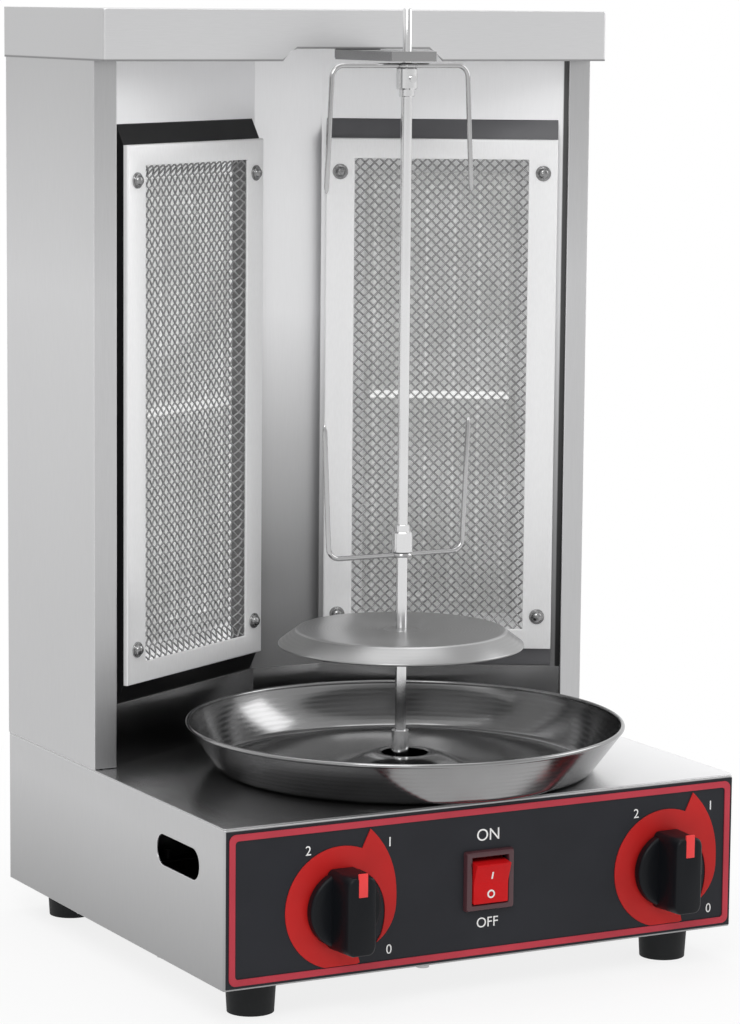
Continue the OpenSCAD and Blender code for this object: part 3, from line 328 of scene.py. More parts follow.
def mix_base(tree, share, colour, blend="MIX"):
    """Mixes a colour into the base colour, by a share."""
    base = tree.nodes["Principled BSDF"].inputs["Base Color"]
    mix = tree.nodes.new("ShaderNodeMix")
    mix.data_type = "RGBA"
    mix.blend_type = blend
    feed(tree, mix.inputs[MIX_SHARE], share)
    tree.links.new(base.links[0].from_socket, mix.inputs[MIX_A])
    tree.links.new(colour, mix.inputs[MIX_B])
    tree.links.new(mix.outputs[MIX_RESULT], base)


def tint_base(tree, tint):
    """Multiplies the base colour by a tint."""
    mix_base(tree, 1.0, tint, "MULTIPLY")


def tint_along(tree, axis, stops):
    """Tints the base colour along an axis, by stops of (place, share of the tone)."""
    low, high = stops[0][0], stops[-1][0]
    at_axis = split_axes(tree, object_point(tree))[axis]
    share = add_range(tree, at_axis, 0.0, 1.0, low, high)
    tint_base(tree, add_ramp(tree, share,
                             [((at - low) / (high - low), grey(value)) for at, value in stops]))


def add_bump(tree, shader, height, strength, distance, edge=0.0):
    """Bump from a height, over softly rounded edges. Returns the rounded normal, if any."""
    bump = tree.nodes.new("ShaderNodeBump")
    bump.inputs["Strength"].default_value = strength
    bump.inputs["Distance"].default_value = distance
    tree.links.new(height, bump.inputs["Height"])
    rounded = None
    if edge:
        bevel = tree.nodes.new("ShaderNodeBevel")
        bevel.samples = 6
        bevel.inputs["Radius"].default_value = edge
        rounded = bevel.outputs["Normal"]
        tree.links.new(rounded, bump.inputs["Normal"])
    tree.links.new(bump.outputs["Normal"], shader.inputs["Normal"])
    return rounded


def paint_fold_highlight(tree, rounded, share):
    """Painted highlight: a brighter base colour along the folds, where the rounded normal leaves
    the flat one.
    """
    flat = tree.nodes.new("ShaderNodeNewGeometry").outputs["Normal"]
    turn = add_math(tree, "DOT_PRODUCT", rounded, flat, kind="ShaderNodeVectorMath")
    tint_base(tree, add_range(tree, turn, share, 1.0, 0.80, 0.985))


def grey(value):
    return (value, value, value * 1.005)


def steel(name, tone, rough, stretch=(40, 40, 2), edge=0.0007, grain=0.10, contrast=0.06,
          heights=None, folds=None):
    """Brushed steel: fine lines along the axis with the smallest stretch.

    Where heights are given, as (z, share of the tone), the tone changes with height, as
    the room's reflection does in the photograph: a painted reflection. Where a fold share
    is given, a painted highlight makes the tone that many times brighter along the sheet's folds."""
    material, tree, shader = node_material(name)
    lines = add_noise(tree, stretch, 60.0, 3.0)
    cloud = add_noise(tree, (1, 1, 1), 9.0, 2.0)
    shader.inputs["Metallic"].default_value = 1.0
    colour = add_ramp(tree, lines, [(0.3, grey(tone - contrast)), (0.7, grey(tone + contrast))])
    tree.links.new(colour, shader.inputs["Base Color"])
    if heights:
        tint_along(tree, "Z", heights)
    tree.links.new(add_range(tree, cloud, rough - 0.05, rough + 0.05),
                   shader.inputs["Roughness"])
    rounded = add_bump(tree, shader, lines, grain, 0.0001, edge)
    if folds:
        paint_fold_highlight(tree, rounded, folds)
    return material


def polished(name, tone, rough, axis=None):
    """Polished steel with faint scratches, in rings round the axis it was spun on."""
    material, tree, shader = node_material(name)
    shader.inputs["Metallic"].default_value = 1.0
    lines = add_rings(tree, axis) if axis else add_noise(tree, (30, 30, 3), 40.0, 3.0)
    cloud = add_noise(tree, (1, 1, 1), 14.0, 3.0)
    colour = add_ramp(tree, cloud, [(0.3, grey(tone - 0.04)), (0.7, grey(tone + 0.04))])
    tree.links.new(colour, shader.inputs["Base Color"])
    tree.links.new(add_range(tree, lines, rough, rough + 0.06), shader.inputs["Roughness"])
    add_bump(tree, shader, lines, 0.04, 0.0001)
    return material


def paint(name, colour, rough, speckle=260.0, depth=0.15, edge=0.0005, sheen=0.0,
          specular=0.22):
    """Paint, enamel or moulded plastic with a fine surface."""
    material, tree, shader = node_material(name)
    shader.inputs["Specular IOR Level"].default_value = specular
    fine = add_noise(tree, (1, 1, 1), speckle, 3.0)
    cloud = add_noise(tree, (1, 1, 1), 25.0, 2.0)
    dark = tuple(c * 0.88 for c in colour)
    light = tuple(min(1.0, c * 1.10) for c in colour)
    tree.links.new(add_ramp(tree, cloud, [(0.3, dark), (0.7, light)]),
                   shader.inputs["Base Color"])
    tree.links.new(add_range(tree, fine, rough - 0.04, rough + 0.06),
                   shader.inputs["Roughness"])
    add_bump(tree, shader, fine, depth, 0.00008, edge)
    if sheen:
        shader.inputs["Coat Weight"].default_value = sheen
        shader.inputs["Coat Roughness"].default_value = 0.08
    return material


# painted reflection by height, darker low down and at the top, and painted highlights along the
# folds
case_steel = steel("case_steel", 0.64, 0.30, (40, 40, 1.5), edge=0.0011, grain=0.02,
                   contrast=0.015, folds=1.5,
                   heights=[(0.02, 0.50), (0.09, 0.77), (0.20, 0.80), (0.38, 0.93), (0.54, 0.66)])
# painted highlights along the cap's folds
front_steel = steel("front_steel", 0.70, 0.30, (1.5, 40, 40), edge=0.0011, grain=0.02,
                    contrast=0.015, folds=1.38)
# painted reflection by height: the reflector is dark low down and brightest at the top
liner_steel = steel("liner_steel", 0.97, 0.36, (40, 40, 1.5), grain=0.02, contrast=0.015,
                    heights=[(0.11, 0.22), (0.18, 0.27), (0.22, 0.34), (0.28, 0.52), (0.36, 0.86),
                             (0.54, 1.0)])
deck_steel = steel("deck_steel", 0.90, 0.24, (1.5, 60, 40), grain=0.02, contrast=0.03)
frame_steel = steel("frame_steel", 0.90, 0.40, (25, 25, 4), grain=0.05, contrast=0.02)
under_steel = steel("under_steel", 0.45, 0.40, (1.5, 40, 40), grain=0.05, contrast=0.03)
mesh_steel = steel("mesh_steel", 0.37, 0.45, (8, 8, 8), edge=0, grain=0.1)
bolt_steel = steel("bolt_steel", 0.28, 0.24, (8, 8, 8), edge=0.0003, grain=0.2)
plate_steel = polished("plate_steel", 0.47, 0.28, SPIT)
# the plate's own steel, darker on the sloped rim as a painted reflection
rim_reflection_steel = polished("rim_reflection_steel", 0.33, 0.30, SPIT)
pan_steel = polished("pan_steel", 0.29, 0.15, PAN)
rod_steel = polished("rod_steel", 0.72, 0.12)
fork_steel = polished("fork_steel", 0.46, 0.12)
bracket_steel = polished("bracket_steel", 0.34, 0.22)
skirt_steel = polished("skirt_steel", 0.36, 0.20)
panel_black = paint("panel_black", (0.017, 0.018, 0.0225), 0.50)
border_red = paint("border_red", (0.50, 0.044, 0.066), 0.35)
mark_red = paint("mark_red", (0.52, 0.015, 0.014), 0.42)
knob_black = paint("knob_black", (0.006, 0.007, 0.009), 0.36, edge=0, specular=0.16)
pointer_red = paint("pointer_red", (0.84, 0.06, 0.06), 0.30, edge=0)
rocker_red = paint("rocker_red", (0.58, 0.008, 0.010), 0.24, edge=0, specular=0.12)
bezel_smoke = paint("bezel_smoke", (0.075, 0.028, 0.034), 0.18, edge=0, sheen=0.5)
switch_black = paint("switch_black", (0.015, 0.015, 0.015), 0.45)
rubber_black = paint("rubber_black", (0.014, 0.015, 0.016), 0.6, speckle=400.0, depth=0.3)
print_white = paint("print_white", (0.85, 0.85, 0.84), 0.35, edge=0)
left_ceramic = paint("left_ceramic", (0.95, 0.95, 0.94), 0.45, speckle=900.0, depth=0.1)
right_ceramic = paint("right_ceramic", (0.95, 0.95, 0.94), 0.45, speckle=900.0, depth=0.1)
strip_white = paint("strip_white", (0.97, 0.97, 0.96), 0.45)
motor_grey = paint("motor_grey", (0.16, 0.17, 0.18), 0.4)
bakelite = paint("bakelite", (0.60, 0.56, 0.46), 0.5)
sleeve_red = paint("sleeve_red", (0.42, 0.06, 0.04), 0.6, speckle=700.0, depth=0.6)
brass = steel("brass", 0.5, 0.3, (8, 8, 8), edge=0.0003)

# surfaces that look lighter or whiter than bare steel are only partly metallic
PARTLY_METAL = {frame_steel: 0.25, deck_steel: 0.92, liner_steel: 0.65,
                left_ceramic: 0.2, right_ceramic: 0.2}
for partly, share in PARTLY_METAL.items():
    partly.node_tree.nodes["Principled BSDF"].inputs["Metallic"].default_value = share

# painted shade and reflection: the deck is darker beside and under the pan, and the cap darker on
# its left side
DECK_SHADE = [(-0.163, 0.50), (-0.12, 0.33), (-0.08, 0.17), (0.03, 0.17), (0.09, 0.75),
              (0.163, 1.0)]
CAP_SIDE_SHADE = 0.72
tint_along(deck_steel.node_tree, "X", DECK_SHADE)
tint_along(front_steel.node_tree, "X", [(cap_low.x, CAP_SIDE_SHADE),
                                        (cap_low.x + 0.05 * MM, CAP_SIDE_SHADE),
                                        (cap_low.x + 0.15 * MM, 1.0)])
brass_stops = brass.node_tree.nodes["Color Ramp"].color_ramp.elements
brass_stops[0].color = (0.55, 0.40, 0.16, 1)
brass_stops[1].color = (0.68, 0.52, 0.24, 1)


def light_through(tree, glow, share=None):
    """The pale glaze behind the mesh looks lit in the photograph: a weak glow of its own."""
    shader = tree.nodes["Principled BSDF"]
    colour = shader.inputs["Base Color"].links[0].from_socket
    tree.links.new(colour, shader.inputs["Emission Color"])
    strength = glow if share is None else add_math(tree, "MULTIPLY", share, glow)
    feed(tree, shader.inputs["Emission Strength"], strength)


def tray_lining(tree, side):
    """Share of the pale lining at a point: none outside the tray, and less near the frame, where
    it is painted shade.
    """
    mirror = 1 if side == "left" else -1
    corner = (heater_corner.x * mirror, heater_corner.y, heater_corner.z)
    local = map_point(tree, "TEXTURE", Location=corner, Rotation=(0, 0, HEATER_TURN * mirror))
    axes = split_axes(tree, local)
    wide = add_math(tree, "COMPARE", axes["X"], mirror * FRAME_W / 2, FRAME_W / 2 - TRAY_SIDE)
    tall = add_math(tree, "COMPARE", axes["Z"], FRAME_H / 2, FRAME_H / 2 - TRAY_END)
    deep = add_math(tree, "GREATER_THAN", axes["Y"], TRAY_DARK)
    share = add_range(tree, deep, TRAY_SHALLOW_SHADE[side], 1.0)
    return add_math(tree, "MULTIPLY", add_math(tree, "MULTIPLY", wide, tall), share)


def tray_enamel(side, tone):
    """Enamel outside, with a pale glazed lining deep in the tray behind the mesh."""
    material = paint(f"{side}_box_enamel", (tone, tone, tone * 1.05), 0.30)
    tree = material.node_tree
    inside = tray_lining(tree, side)
    cloud = add_noise(tree, (1, 1, 1), 30.0, 2.0)
    mix_base(tree, inside, add_ramp(tree, cloud, [(0.3, grey(0.86)), (0.7, grey(0.96))]))
    metal = add_math(tree, "MULTIPLY", inside, PARTLY_METAL[left_ceramic])
    tree.links.new(metal, tree.nodes["Principled BSDF"].inputs["Metallic"])
    light_through(tree, TRAY_GLOW[side], inside)
    return material


def shade_liner_gap():
    """Painted shadow: the dark gap beside each front flange, where the reflector runs in behind
    it.
    """
    tree = liner_steel.node_tree
    across = add_math(tree, "ABSOLUTE", split_axes(tree, object_point(tree))["X"])
    edge, soft, shade = FLANGE_EDGE - 0.4 * MM, 0.3 * MM, 0.10
    tint_base(tree, add_range(tree, across, 1.0, shade, edge - soft, edge + soft))


def shade_cap_hem():
    """Painted shade: a darker line along the cap's lower edge and round the notch in its front."""
    tree = front_steel.node_tree
    axes = split_axes(tree, object_point(tree))
    across = add_math(tree, "ABSOLUTE", axes["X"])
    notch = add_range(tree, across, NOTCH_H, 0.0, NOTCH_HALF - NOTCH_RAMP, NOTCH_HALF)
    front = add_math(tree, "LESS_THAN", axes["Y"], (cap_low.y + cap_high.y) / 2)
    hem = add_math(tree, "MULTIPLY_ADD", notch, front, cap_low.z)
    above = add_math(tree, "SUBTRACT", axes["Z"], hem)
    dark_to, clear_from, shade = 0.7 * MM, 1.4 * MM, 0.40
    tint_base(tree, add_range(tree, above, shade, 1.0, dark_to, clear_from))


light_through(left_ceramic.node_tree, PLATE_GLOW["left"])
light_through(right_ceramic.node_tree, PLATE_GLOW["right"])
light_through(strip_white.node_tree, STRIP_GLOW)
# both boxes are the same black enamel; the right one's lighter tone is a painted reflection
left_enamel = tray_enamel("left", 0.012)
right_enamel = tray_enamel("right", 0.15)
shade_liner_gap()
shade_cap_hem()

KEPT = {
    case_steel: ("base_shell", "left_side_panel", "right_side_panel", "back_panel"),
    front_steel: ("cap",),
    liner_steel: ("liner",),
    deck_steel: ("deck_plate",),
    under_steel: ("bottom_plate", "motor_bracket", "foot_screws", "case_screws",
                  "regulator_nuts"),
    strip_white: ("seam_strips",),
    rod_steel: ("motor_shaft", "drive_hub", "lower_collar_screw", "upper_collar_screw"),
    bracket_steel: ("spit_bracket",),
    skirt_steel: ("lower_skirt",),
    left_enamel: ("left_heater_box",),
    right_enamel: ("right_heater_box",),
    panel_black: ("front_panel",),
    border_red: ("panel_border",),
    mark_red: ("power_marks",),
    switch_black: ("switch_body", "cord_gland"),
    left_ceramic: ("left_ceramic_plates", "left_element"),
    right_ceramic: ("right_ceramic_plates", "right_element"),
    motor_grey: ("gear_motor",),
    bakelite: ("left_regulator", "right_regulator", "terminal_block"),
    sleeve_red: ("wiring",),
    brass: ("deck_bush", "left_regulator_shaft", "right_regulator_shaft"),
    rubber_black: ("foot_front_left", "foot_front_right", "foot_rear_left",
                   "foot_rear_right"),
}
for material, names in KEPT.items():
    for node_name in names:
        nodes[node_name].data.materials.clear()
        nodes[node_name].data.materials.append(material)


# ---- heaters ----

def heater_frame(side, matrix):
    """A pressed ring of sheet with a rolled outer edge and a turned inner edge."""
    bm = bmesh.new()
    outer = [(0, 0), (FRAME_W, 0), (FRAME_W, FRAME_H), (0, FRAME_H)]
    inner = [(FRAME_SIDE, FRAME_END), (FRAME_W - FRAME_SIDE, FRAME_END),
             (FRAME_W - FRAME_SIDE, FRAME_H - FRAME_END), (FRAME_SIDE, FRAME_H - FRAME_END)]
    signs = [(1, 1), (-1, 1), (-1, -1), (1, -1)]
    roll, lip = 1.0 * MM, 0.5 * MM
    section = [(outer, 0.0, FRAME_LIP), (outer, 0.0, roll)]
    for step in range(1, 5):
        a = math.radians(90 * step / 4)
        section.append((outer, roll * (1 - math.cos(a)), roll * (1 - math.sin(a))))
    for step in range(0, 4):
        a = math.radians(90 * step / 3)
        section.append((inner, -lip * (1 - math.sin(a)), lip * (1 - math.cos(a))))
    section.append((inner, 0.0, FRAME_T))
    bridge(bm, [[bm.verts.new((x + sx * inset, depth, z + sz * inset))
                 for (x, z), (sx, sz) in zip(ring, signs)] for ring, inset, depth in section])
    bmesh.ops.recalc_face_normals(bm, faces=bm.faces[:])
    obj = from_bmesh(f"{side}_frame_sheet", bm, frame_steel, 50, matrix)
    return dress(obj, "housing", "frame_steel", f"{side}_frame")


def guard_depth(x, z):
    """Depth of the dished mesh under a point of the window."""
    edge = min(x - FRAME_SIDE, FRAME_W - FRAME_SIDE - x, z - FRAME_END, FRAME_H - FRAME_END - z)
    share = max(0.0, min(1.0, edge / MESH_SLOPE))
    smooth = share * share * (3 - 2 * share)
    return FRAME_T + 0.9 * MM + MESH_DISH * (0.35 * smooth + 0.65 * share)


def woven_wires(direction):
    """Crimped wires at 45 degrees over the window and a little behind the frame."""
    x0, x1 = FRAME_SIDE - MESH_TUCK, FRAME_W - FRAME_SIDE + MESH_TUCK
    z0, z1 = FRAME_END - MESH_TUCK, FRAME_H - FRAME_END + MESH_TUCK
    step = WIRE_PITCH / 4
    paths = []
    first = math.floor((z0 - x1) / WIRE_PITCH)
    last = math.ceil((z1 - x0) / WIRE_PITCH)
    for k in range(first, last + 1):
        path = []
        low = max(x0, z0 - k * WIRE_PITCH)
        high = min(x1, z1 - k * WIRE_PITCH)
        if high - low < 2 * step:
            continue
        for n in range(math.floor(low / step), math.ceil(high / step) + 1):
            x = n * step
            if not low <= x <= high:
                continue
            z = x + k * WIRE_PITCH
            lift = math.cos(2 * math.pi * x / WIRE_PITCH) * WIRE_R * 0.8 * direction
            px = x if direction > 0 else FRAME_W - x
            path.append((Vector((px, guard_depth(px, z) + lift, z)), 1.0))
        if len(path) > 2:
            paths.append(path)
    return tube_lists(paths, WIRE_R, 5)


def mesh_guard(side, matrix):
    """Two layers of wires and the folded strip that they are clamped in."""
    parts = []
    for direction in (1, -1):
        verts, faces = woven_wires(direction)
        parts.append(from_lists(f"{side}_wires_{direction + 1}", verts, faces, mesh_steel,
                                80, matrix))
    bm = bmesh.new()
    edge, upright, level = 3 * MM, 10 * MM, 6 * MM
    y0, y1 = FRAME_T + 0.1 * MM, FRAME_T + 1.0 * MM
    add_box(bm, (edge, y0, edge), (edge + upright, y1, FRAME_H - edge))
    add_box(bm, (FRAME_W - edge - upright, y0, edge), (FRAME_W - edge, y1, FRAME_H - edge))
    add_box(bm, (edge, y0, edge), (FRAME_W - edge, y1, edge + level))
    add_box(bm, (edge, y0, FRAME_H - edge - level), (FRAME_W - edge, y1, FRAME_H - edge))
    parts.append(from_bmesh(f"{side}_mesh_edge", bm, mesh_steel, 32, matrix))
    guard = join(f"{side}_mesh_guard", parts)
    return dress(guard, "housing", "mesh_steel", f"{side}_mesh")


def bolt_mesh(bm, x, z):
    """Pan-head cross screw over a lock washer and a flat washer."""
    start = len(bm.verts)
    profile = [(0.0, -3.6), (1.2, -3.5), (2.2, -3.1), (2.9, -2.4), (3.2, -1.7), (3.2, -1.6),
               (3.7, -1.5), (3.9, -1.2), (3.7, -0.9), (4.4, -0.85), (4.6, -0.6), (4.6, 0.0)]
    verts, faces = lathe_lists([(r * MM, h * MM) for r, h in profile], 28)
    made = [bm.verts.new((x + vx, vz, z + vy)) for vx, vy, vz in verts]
    for face in faces:
        bm.faces.new([made[i] for i in face])
    bmesh.ops.remove_doubles(bm, verts=bm.verts[start:], dist=1e-6)
    # the cross, as two crossed bars that stand a little out of the head
    long, short = 1.3 * MM, 0.3 * MM
    for w, h in ((long, short), (short, long)):
        add_box(bm, (x - w, -3.75 * MM, z - h), (x + w, -3.0 * MM, z + h), 0.1 * MM, 1)


def frame_bolts():
    parts = []
    for side, matrix in (("left", LEFT_HEATER), ("right", RIGHT_HEATER)):
        bm = bmesh.new()
        for x in (BOLT_SIDE, FRAME_W - BOLT_SIDE):
            for z in (BOLT_END, FRAME_H - BOLT_END):
                bolt_mesh(bm, x, z)
        bmesh.ops.recalc_face_normals(bm, faces=bm.faces[:])
        parts.append(from_bmesh(f"{side}_bolts", bm, bolt_steel, 40, matrix))
    return dress(join("frame_bolt_heads", parts), "housing", "fastener_steel", "frame_bolts")


for heater_side, heater_matrix in (("left", LEFT_HEATER), ("right", RIGHT_HEATER)):
    heater_frame(heater_side, heater_matrix)
    mesh_guard(heater_side, heater_matrix)
frame_bolts()


# ---- spit, plate and pan ----

def turned(name, profile, material, body, slot, *replaced, steps=96, angle=40, axis=SPIT):
    obj = lathe(name, profile, steps, material, angle, Matrix.Translation(axis))
    return dress(obj, body, slot, *replaced)


def spit_rod():
    low, high = rod_low.z, rod_high.z
    hub_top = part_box("drive_hub")[1].z
    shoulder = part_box("spit_bracket")[0].z - 0.8 * MM
    stop_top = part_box("meat_plate")[0].z
    r, tip = 3.2 * MM, 2.5 * MM
    profile = [(0.0, low + 0.2 * MM), (2.2 * MM, low + 0.2 * MM), (2.2 * MM, hub_top),
               (r, hub_top), (r, stop_top - 2.5 * MM), (5 * MM, stop_top - 2.5 * MM),
               (5 * MM, stop_top), (r, stop_top), (r, shoulder - 0.3 * MM),
               (r - 0.3 * MM, shoulder), (tip, shoulder), (tip, high - 0.8 * MM),
               (tip - 0.3 * MM, high - 0.3 * MM), (tip - 0.8 * MM, high), (0.0, high)]
    turned("spit_rod_turned", profile, rod_steel, "spit", "polished_steel", "spit_rod")


def meat_plate():
    """A flat plate of sheet with a sloped rim, and a boss below it; the rim's darker tone is a
    painted reflection.
    """
    low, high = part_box("meat_plate")
    rim, top = (high.x - low.x) / 2, 59.5 * MM
    z0, z1 = high.z - 9.5 * MM, high.z
    t = 1.2 * MM
    bore = 3.25 * MM
    profile = [(bore, z1 - t), (top - t, z1 - t), (rim - 2.2 * t, z0 + 0.2 * t)]
    profile += arc((rim - 0.9 * MM, z0 + 0.9 * MM), 0.9 * MM, -90, 45, 6)
    profile += [(top + 1.4 * MM, z1 - 0.9 * MM), (top + 0.7 * MM, z1 - 0.35 * MM),
                (top, z1 - 0.1 * MM), (top - 1.5 * MM, z1), (12 * MM, z1),
                (11 * MM, z1 - 0.3 * MM), (10 * MM, z1 - 0.3 * MM), (9 * MM, z1), (bore, z1)]
    at_spit = Matrix.Translation(SPIT)
    plate = lathe("meat_plate_sheet", profile, 160, plate_steel, 50, at_spit)
    plate.data.materials.append(rim_reflection_steel)
    for face in plate.data.polygons:
        if (face.center.xy - SPIT.xy).length > top + 1.2 * MM:
            face.material_index = 1
    neck = [(bore, low.z), (7.5 * MM, low.z), (8 * MM, low.z + 0.5 * MM), (8 * MM, z1 - t)]
    boss = lathe("meat_plate_boss", neck, 64, plate_steel, 50, at_spit)
    dress(join("meat_plate_dressed", [plate, boss]), "spit", "plate_steel", "meat_plate")


def drip_pan():
    """A spun pan with a beaded rim, and a hill in its middle round the hole."""
    bead = 1.3 * MM
    rim = (pan_high.x - pan_low.x) / 2 - 0.8 * MM
    z0, z1 = pan_low.z, pan_high.z - bead
    lean = 55
    slope = math.radians(lean)
    fillet = 8 * MM
    wall = 1.0 * MM
    height = z1 - z0
    foot = (rim - fillet * math.sin(slope)
            - (height - fillet * (1 - math.cos(slope))) / math.tan(slope))
    hole, hill_top, hill, hill_h = 13.5 * MM, 16.5 * MM, 42 * MM, 8.6 * MM
    # the middle rises in a soft S from the floor to the hole
    inside = [(hole, z0 + hill_h - 0.4 * MM), (hole + 1.5 * MM, z0 + hill_h)]
    for i in range(14, -1, -1):
        s = i / 14
        soft = s * s * (3 - 2 * s)
        inside.append((hill + (hill_top - hill) * s, z0 + wall + (hill_h - wall) * soft))
    flat = hill + 4 * MM
    inside += [(flat + (foot - flat) * i / 6, z0 + wall) for i in range(7)]
    inside += arc((foot, z0 + fillet), fillet - wall, -90, -90 + lean, 10)[1:]
    inside += [(rim - wall / math.sin(slope) - 0.4 * MM, z1 - 0.9 * MM)]
    centre = (rim - wall / 2, z1)
    inside += arc(centre, bead, 200, -60, 18)
    outside = [(rim - 0.2 * MM, z1 - 1.6 * MM)]
    outside += list(reversed(arc((foot, z0 + fillet), fillet, -90, -90 + lean, 10)))
    outside += [(hill, z0), (hill_top, z0 + hill_h - wall), (hole, z0 + hill_h - wall)]
    outside += [(hole, z0 + hill_h - 0.4 * MM)]
    turned("drip_pan_spun", inside + outside, pan_steel, "pan", "polished_steel", "drip_pan",
           steps=200, angle=50, axis=PAN)


def collar(name, node, body, up):
    """A turned collar with a chamfered end and its neck."""
    low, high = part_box(node)
    end, turn = (low.z, 1) if up else (high.z, -1)
    r, bore, neck = 6.0 * MM, 3.25 * MM, 4.3 * MM
    length, whole = 12 * MM, high.z - low.z
    steps = [(bore, 0), (r - 0.5 * MM, 0), (r, 0.5 * MM), (r, length - 0.8 * MM),
             (r - 0.8 * MM, length), (neck, length), (neck, whole - 0.4 * MM),
             (neck - 0.4 * MM, whole), (bore, whole)]
    profile = [(radius, end + turn * h) for radius, h in steps]
    if not up:
        profile.reverse()
    turned(name, profile, rod_steel, body, "polished_steel", node, steps=64)


def fork(name, node, body, up):
    """Bent wire: a ring on the rod and two prongs, with round bends and ground tips."""
    low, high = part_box(node)
    r = 1.4 * MM
    ring_z = low.z + r if up else high.z - r
    turn = 1 if up else -1
    length = high.z - low.z - r
    bend = 7 * MM
    splay = 3 * MM
    ground_tip = ((0.15, 1), (0.5, 1), (0.94, 1), (0.97, 0.8), (0.99, 0.5), (1.0, 0.2))
    paths = []
    for side, reach in ((1, 39.5 * MM), (-1, 47.5 * MM)):
        lean = math.asin(splay / (length - bend))
        path = []
        for x in (5.5 * MM, 10 * MM, 20 * MM, reach - bend - 4 * MM):
            path.append((Vector((SPIT.x + side * x, SPIT.y, ring_z)), 1.0))
        for i in range(11):
            a = (math.pi / 2 - lean) * i / 10
            path.append((Vector((SPIT.x + side * (reach - bend + bend * math.sin(a)), SPIT.y,
                                 ring_z + turn * bend * (1 - math.cos(a)))), 1.0))
        start = path[-1][0]
        run = (length - bend * (1 - math.sin(lean))) / math.cos(lean)
        ahead = Vector((side * math.sin(lean), 0, turn * math.cos(lean)))
        for share, size in ground_tip:
            path.append((start + ahead * run * share, size))
        paths.append(path)
    verts, faces = tube_lists(paths, r, 14)
    prongs = from_lists(f"{name}_prongs", verts, faces, fork_steel, 50)
    loop = arc((4.6 * MM, ring_z), r * 0.98, 0, 360, 16)
    ring = lathe(f"{name}_ring", loop, 48, fork_steel, 50, Matrix.Translation(SPIT))
    dress(join(name, [prongs, ring]), body, "polished_steel", node)


spit_rod()
meat_plate()
drip_pan()
collar("lower_collar_turned", "lower_collar", "lower_fork_clamp", True)
collar("upper_collar_turned", "upper_collar", "upper_fork_clamp", False)
fork("lower_fork_wire", "lower_fork", "lower_fork_clamp", True)
fork("upper_fork_wire", "upper_fork", "upper_fork_clamp", False)


# ---- controls ----

def knob_skirt(side, place):
    """The round foot of a knob, with a rounded shoulder."""
    corner, shoulder = 2.0 * MM, KNOB_BASE - 2.2 * MM
    profile = [(11 * MM, 0.0), (KNOB_R - 0.6 * MM, 0.0), (KNOB_R, 0.5 * MM), (KNOB_R, shoulder)]
    profile += arc((KNOB_R - corner, shoulder), corner, 0, 80, 8)
    profile += [(KNOB_R - 6 * MM, KNOB_BASE), (0.0, KNOB_BASE + 0.2 * MM)]
    return lathe(f"{side}_knob_skirt", profile, 96, knob_black, 45, place)


def knob_grip(side, place):
    """A bar with round ends, drawn in towards its face."""
    bm = bmesh.new()
    long, wide, end = 22.2 * MM, 9.5 * MM, 5.0 * MM
    levels = [(0.3 * MM, 0.0), (KNOB_H * 0.55, 0.6 * MM), (KNOB_H - 1.6 * MM, 1.0 * MM),
              (KNOB_H - 0.6 * MM, 1.5 * MM), (KNOB_H, 2.6 * MM)]
    rings = []
    for level, inset in levels:
        w, l = wide - inset - end * 0.75, long - inset * 0.6 - end
        quarter = [(w + end * 0.75 * math.cos(a), l + end * math.sin(a))
                   for a in (math.radians(90 * i / 8) for i in range(9))]
        outline = quarter + [(-px, py) for px, py in reversed(quarter)]
        outline += [(-px, -py) for px, py in quarter] + [(px, -py) for px, py in reversed(quarter)]
        rings.append([bm.verts.new((px, py, level)) for px, py in outline])
    bridge(bm, rings)
    bm.faces.new(rings[-1])
    bmesh.ops.remove_doubles(bm, verts=bm.verts[:], dist=1e-6)
    bmesh.ops.recalc_face_normals(bm, faces=bm.faces[:])
    return from_bmesh(f"{side}_knob_grip", bm, knob_black, 40, place)


def knob(side):
    """A round skirt with a bar grip, and the red pointer insert in the grip's face."""
    low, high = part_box(f"{side}_knob")
    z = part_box(f"{side}_regulator_shaft")[0].z + 3 * MM
    place = (Matrix.Translation(((low.x + high.x) / 2, high.y, z))
             @ Matrix.Rotation(math.radians(90), 4, "X"))
    moulded = join(f"{side}_knob_moulded", [knob_skirt(side, place), knob_grip(side, place)])
    dress(moulded, f"{side}_power_knob", "knob_black", f"{side}_knob")
    bm = bmesh.new()
    half, long, tip = 2.75 * MM, 13 * MM, KNOB_R + 2.5 * MM
    add_box(bm, (-half, tip - long, KNOB_H - 1.2 * MM), (half, tip, KNOB_H + 0.3 * MM),
            0.35 * MM, 2)
    pointer = from_bmesh(f"{side}_pointer_insert", bm, pointer_red, 40, place)
    dress(pointer, f"{side}_power_knob", "pointer_red", f"{side}_knob_pointer")


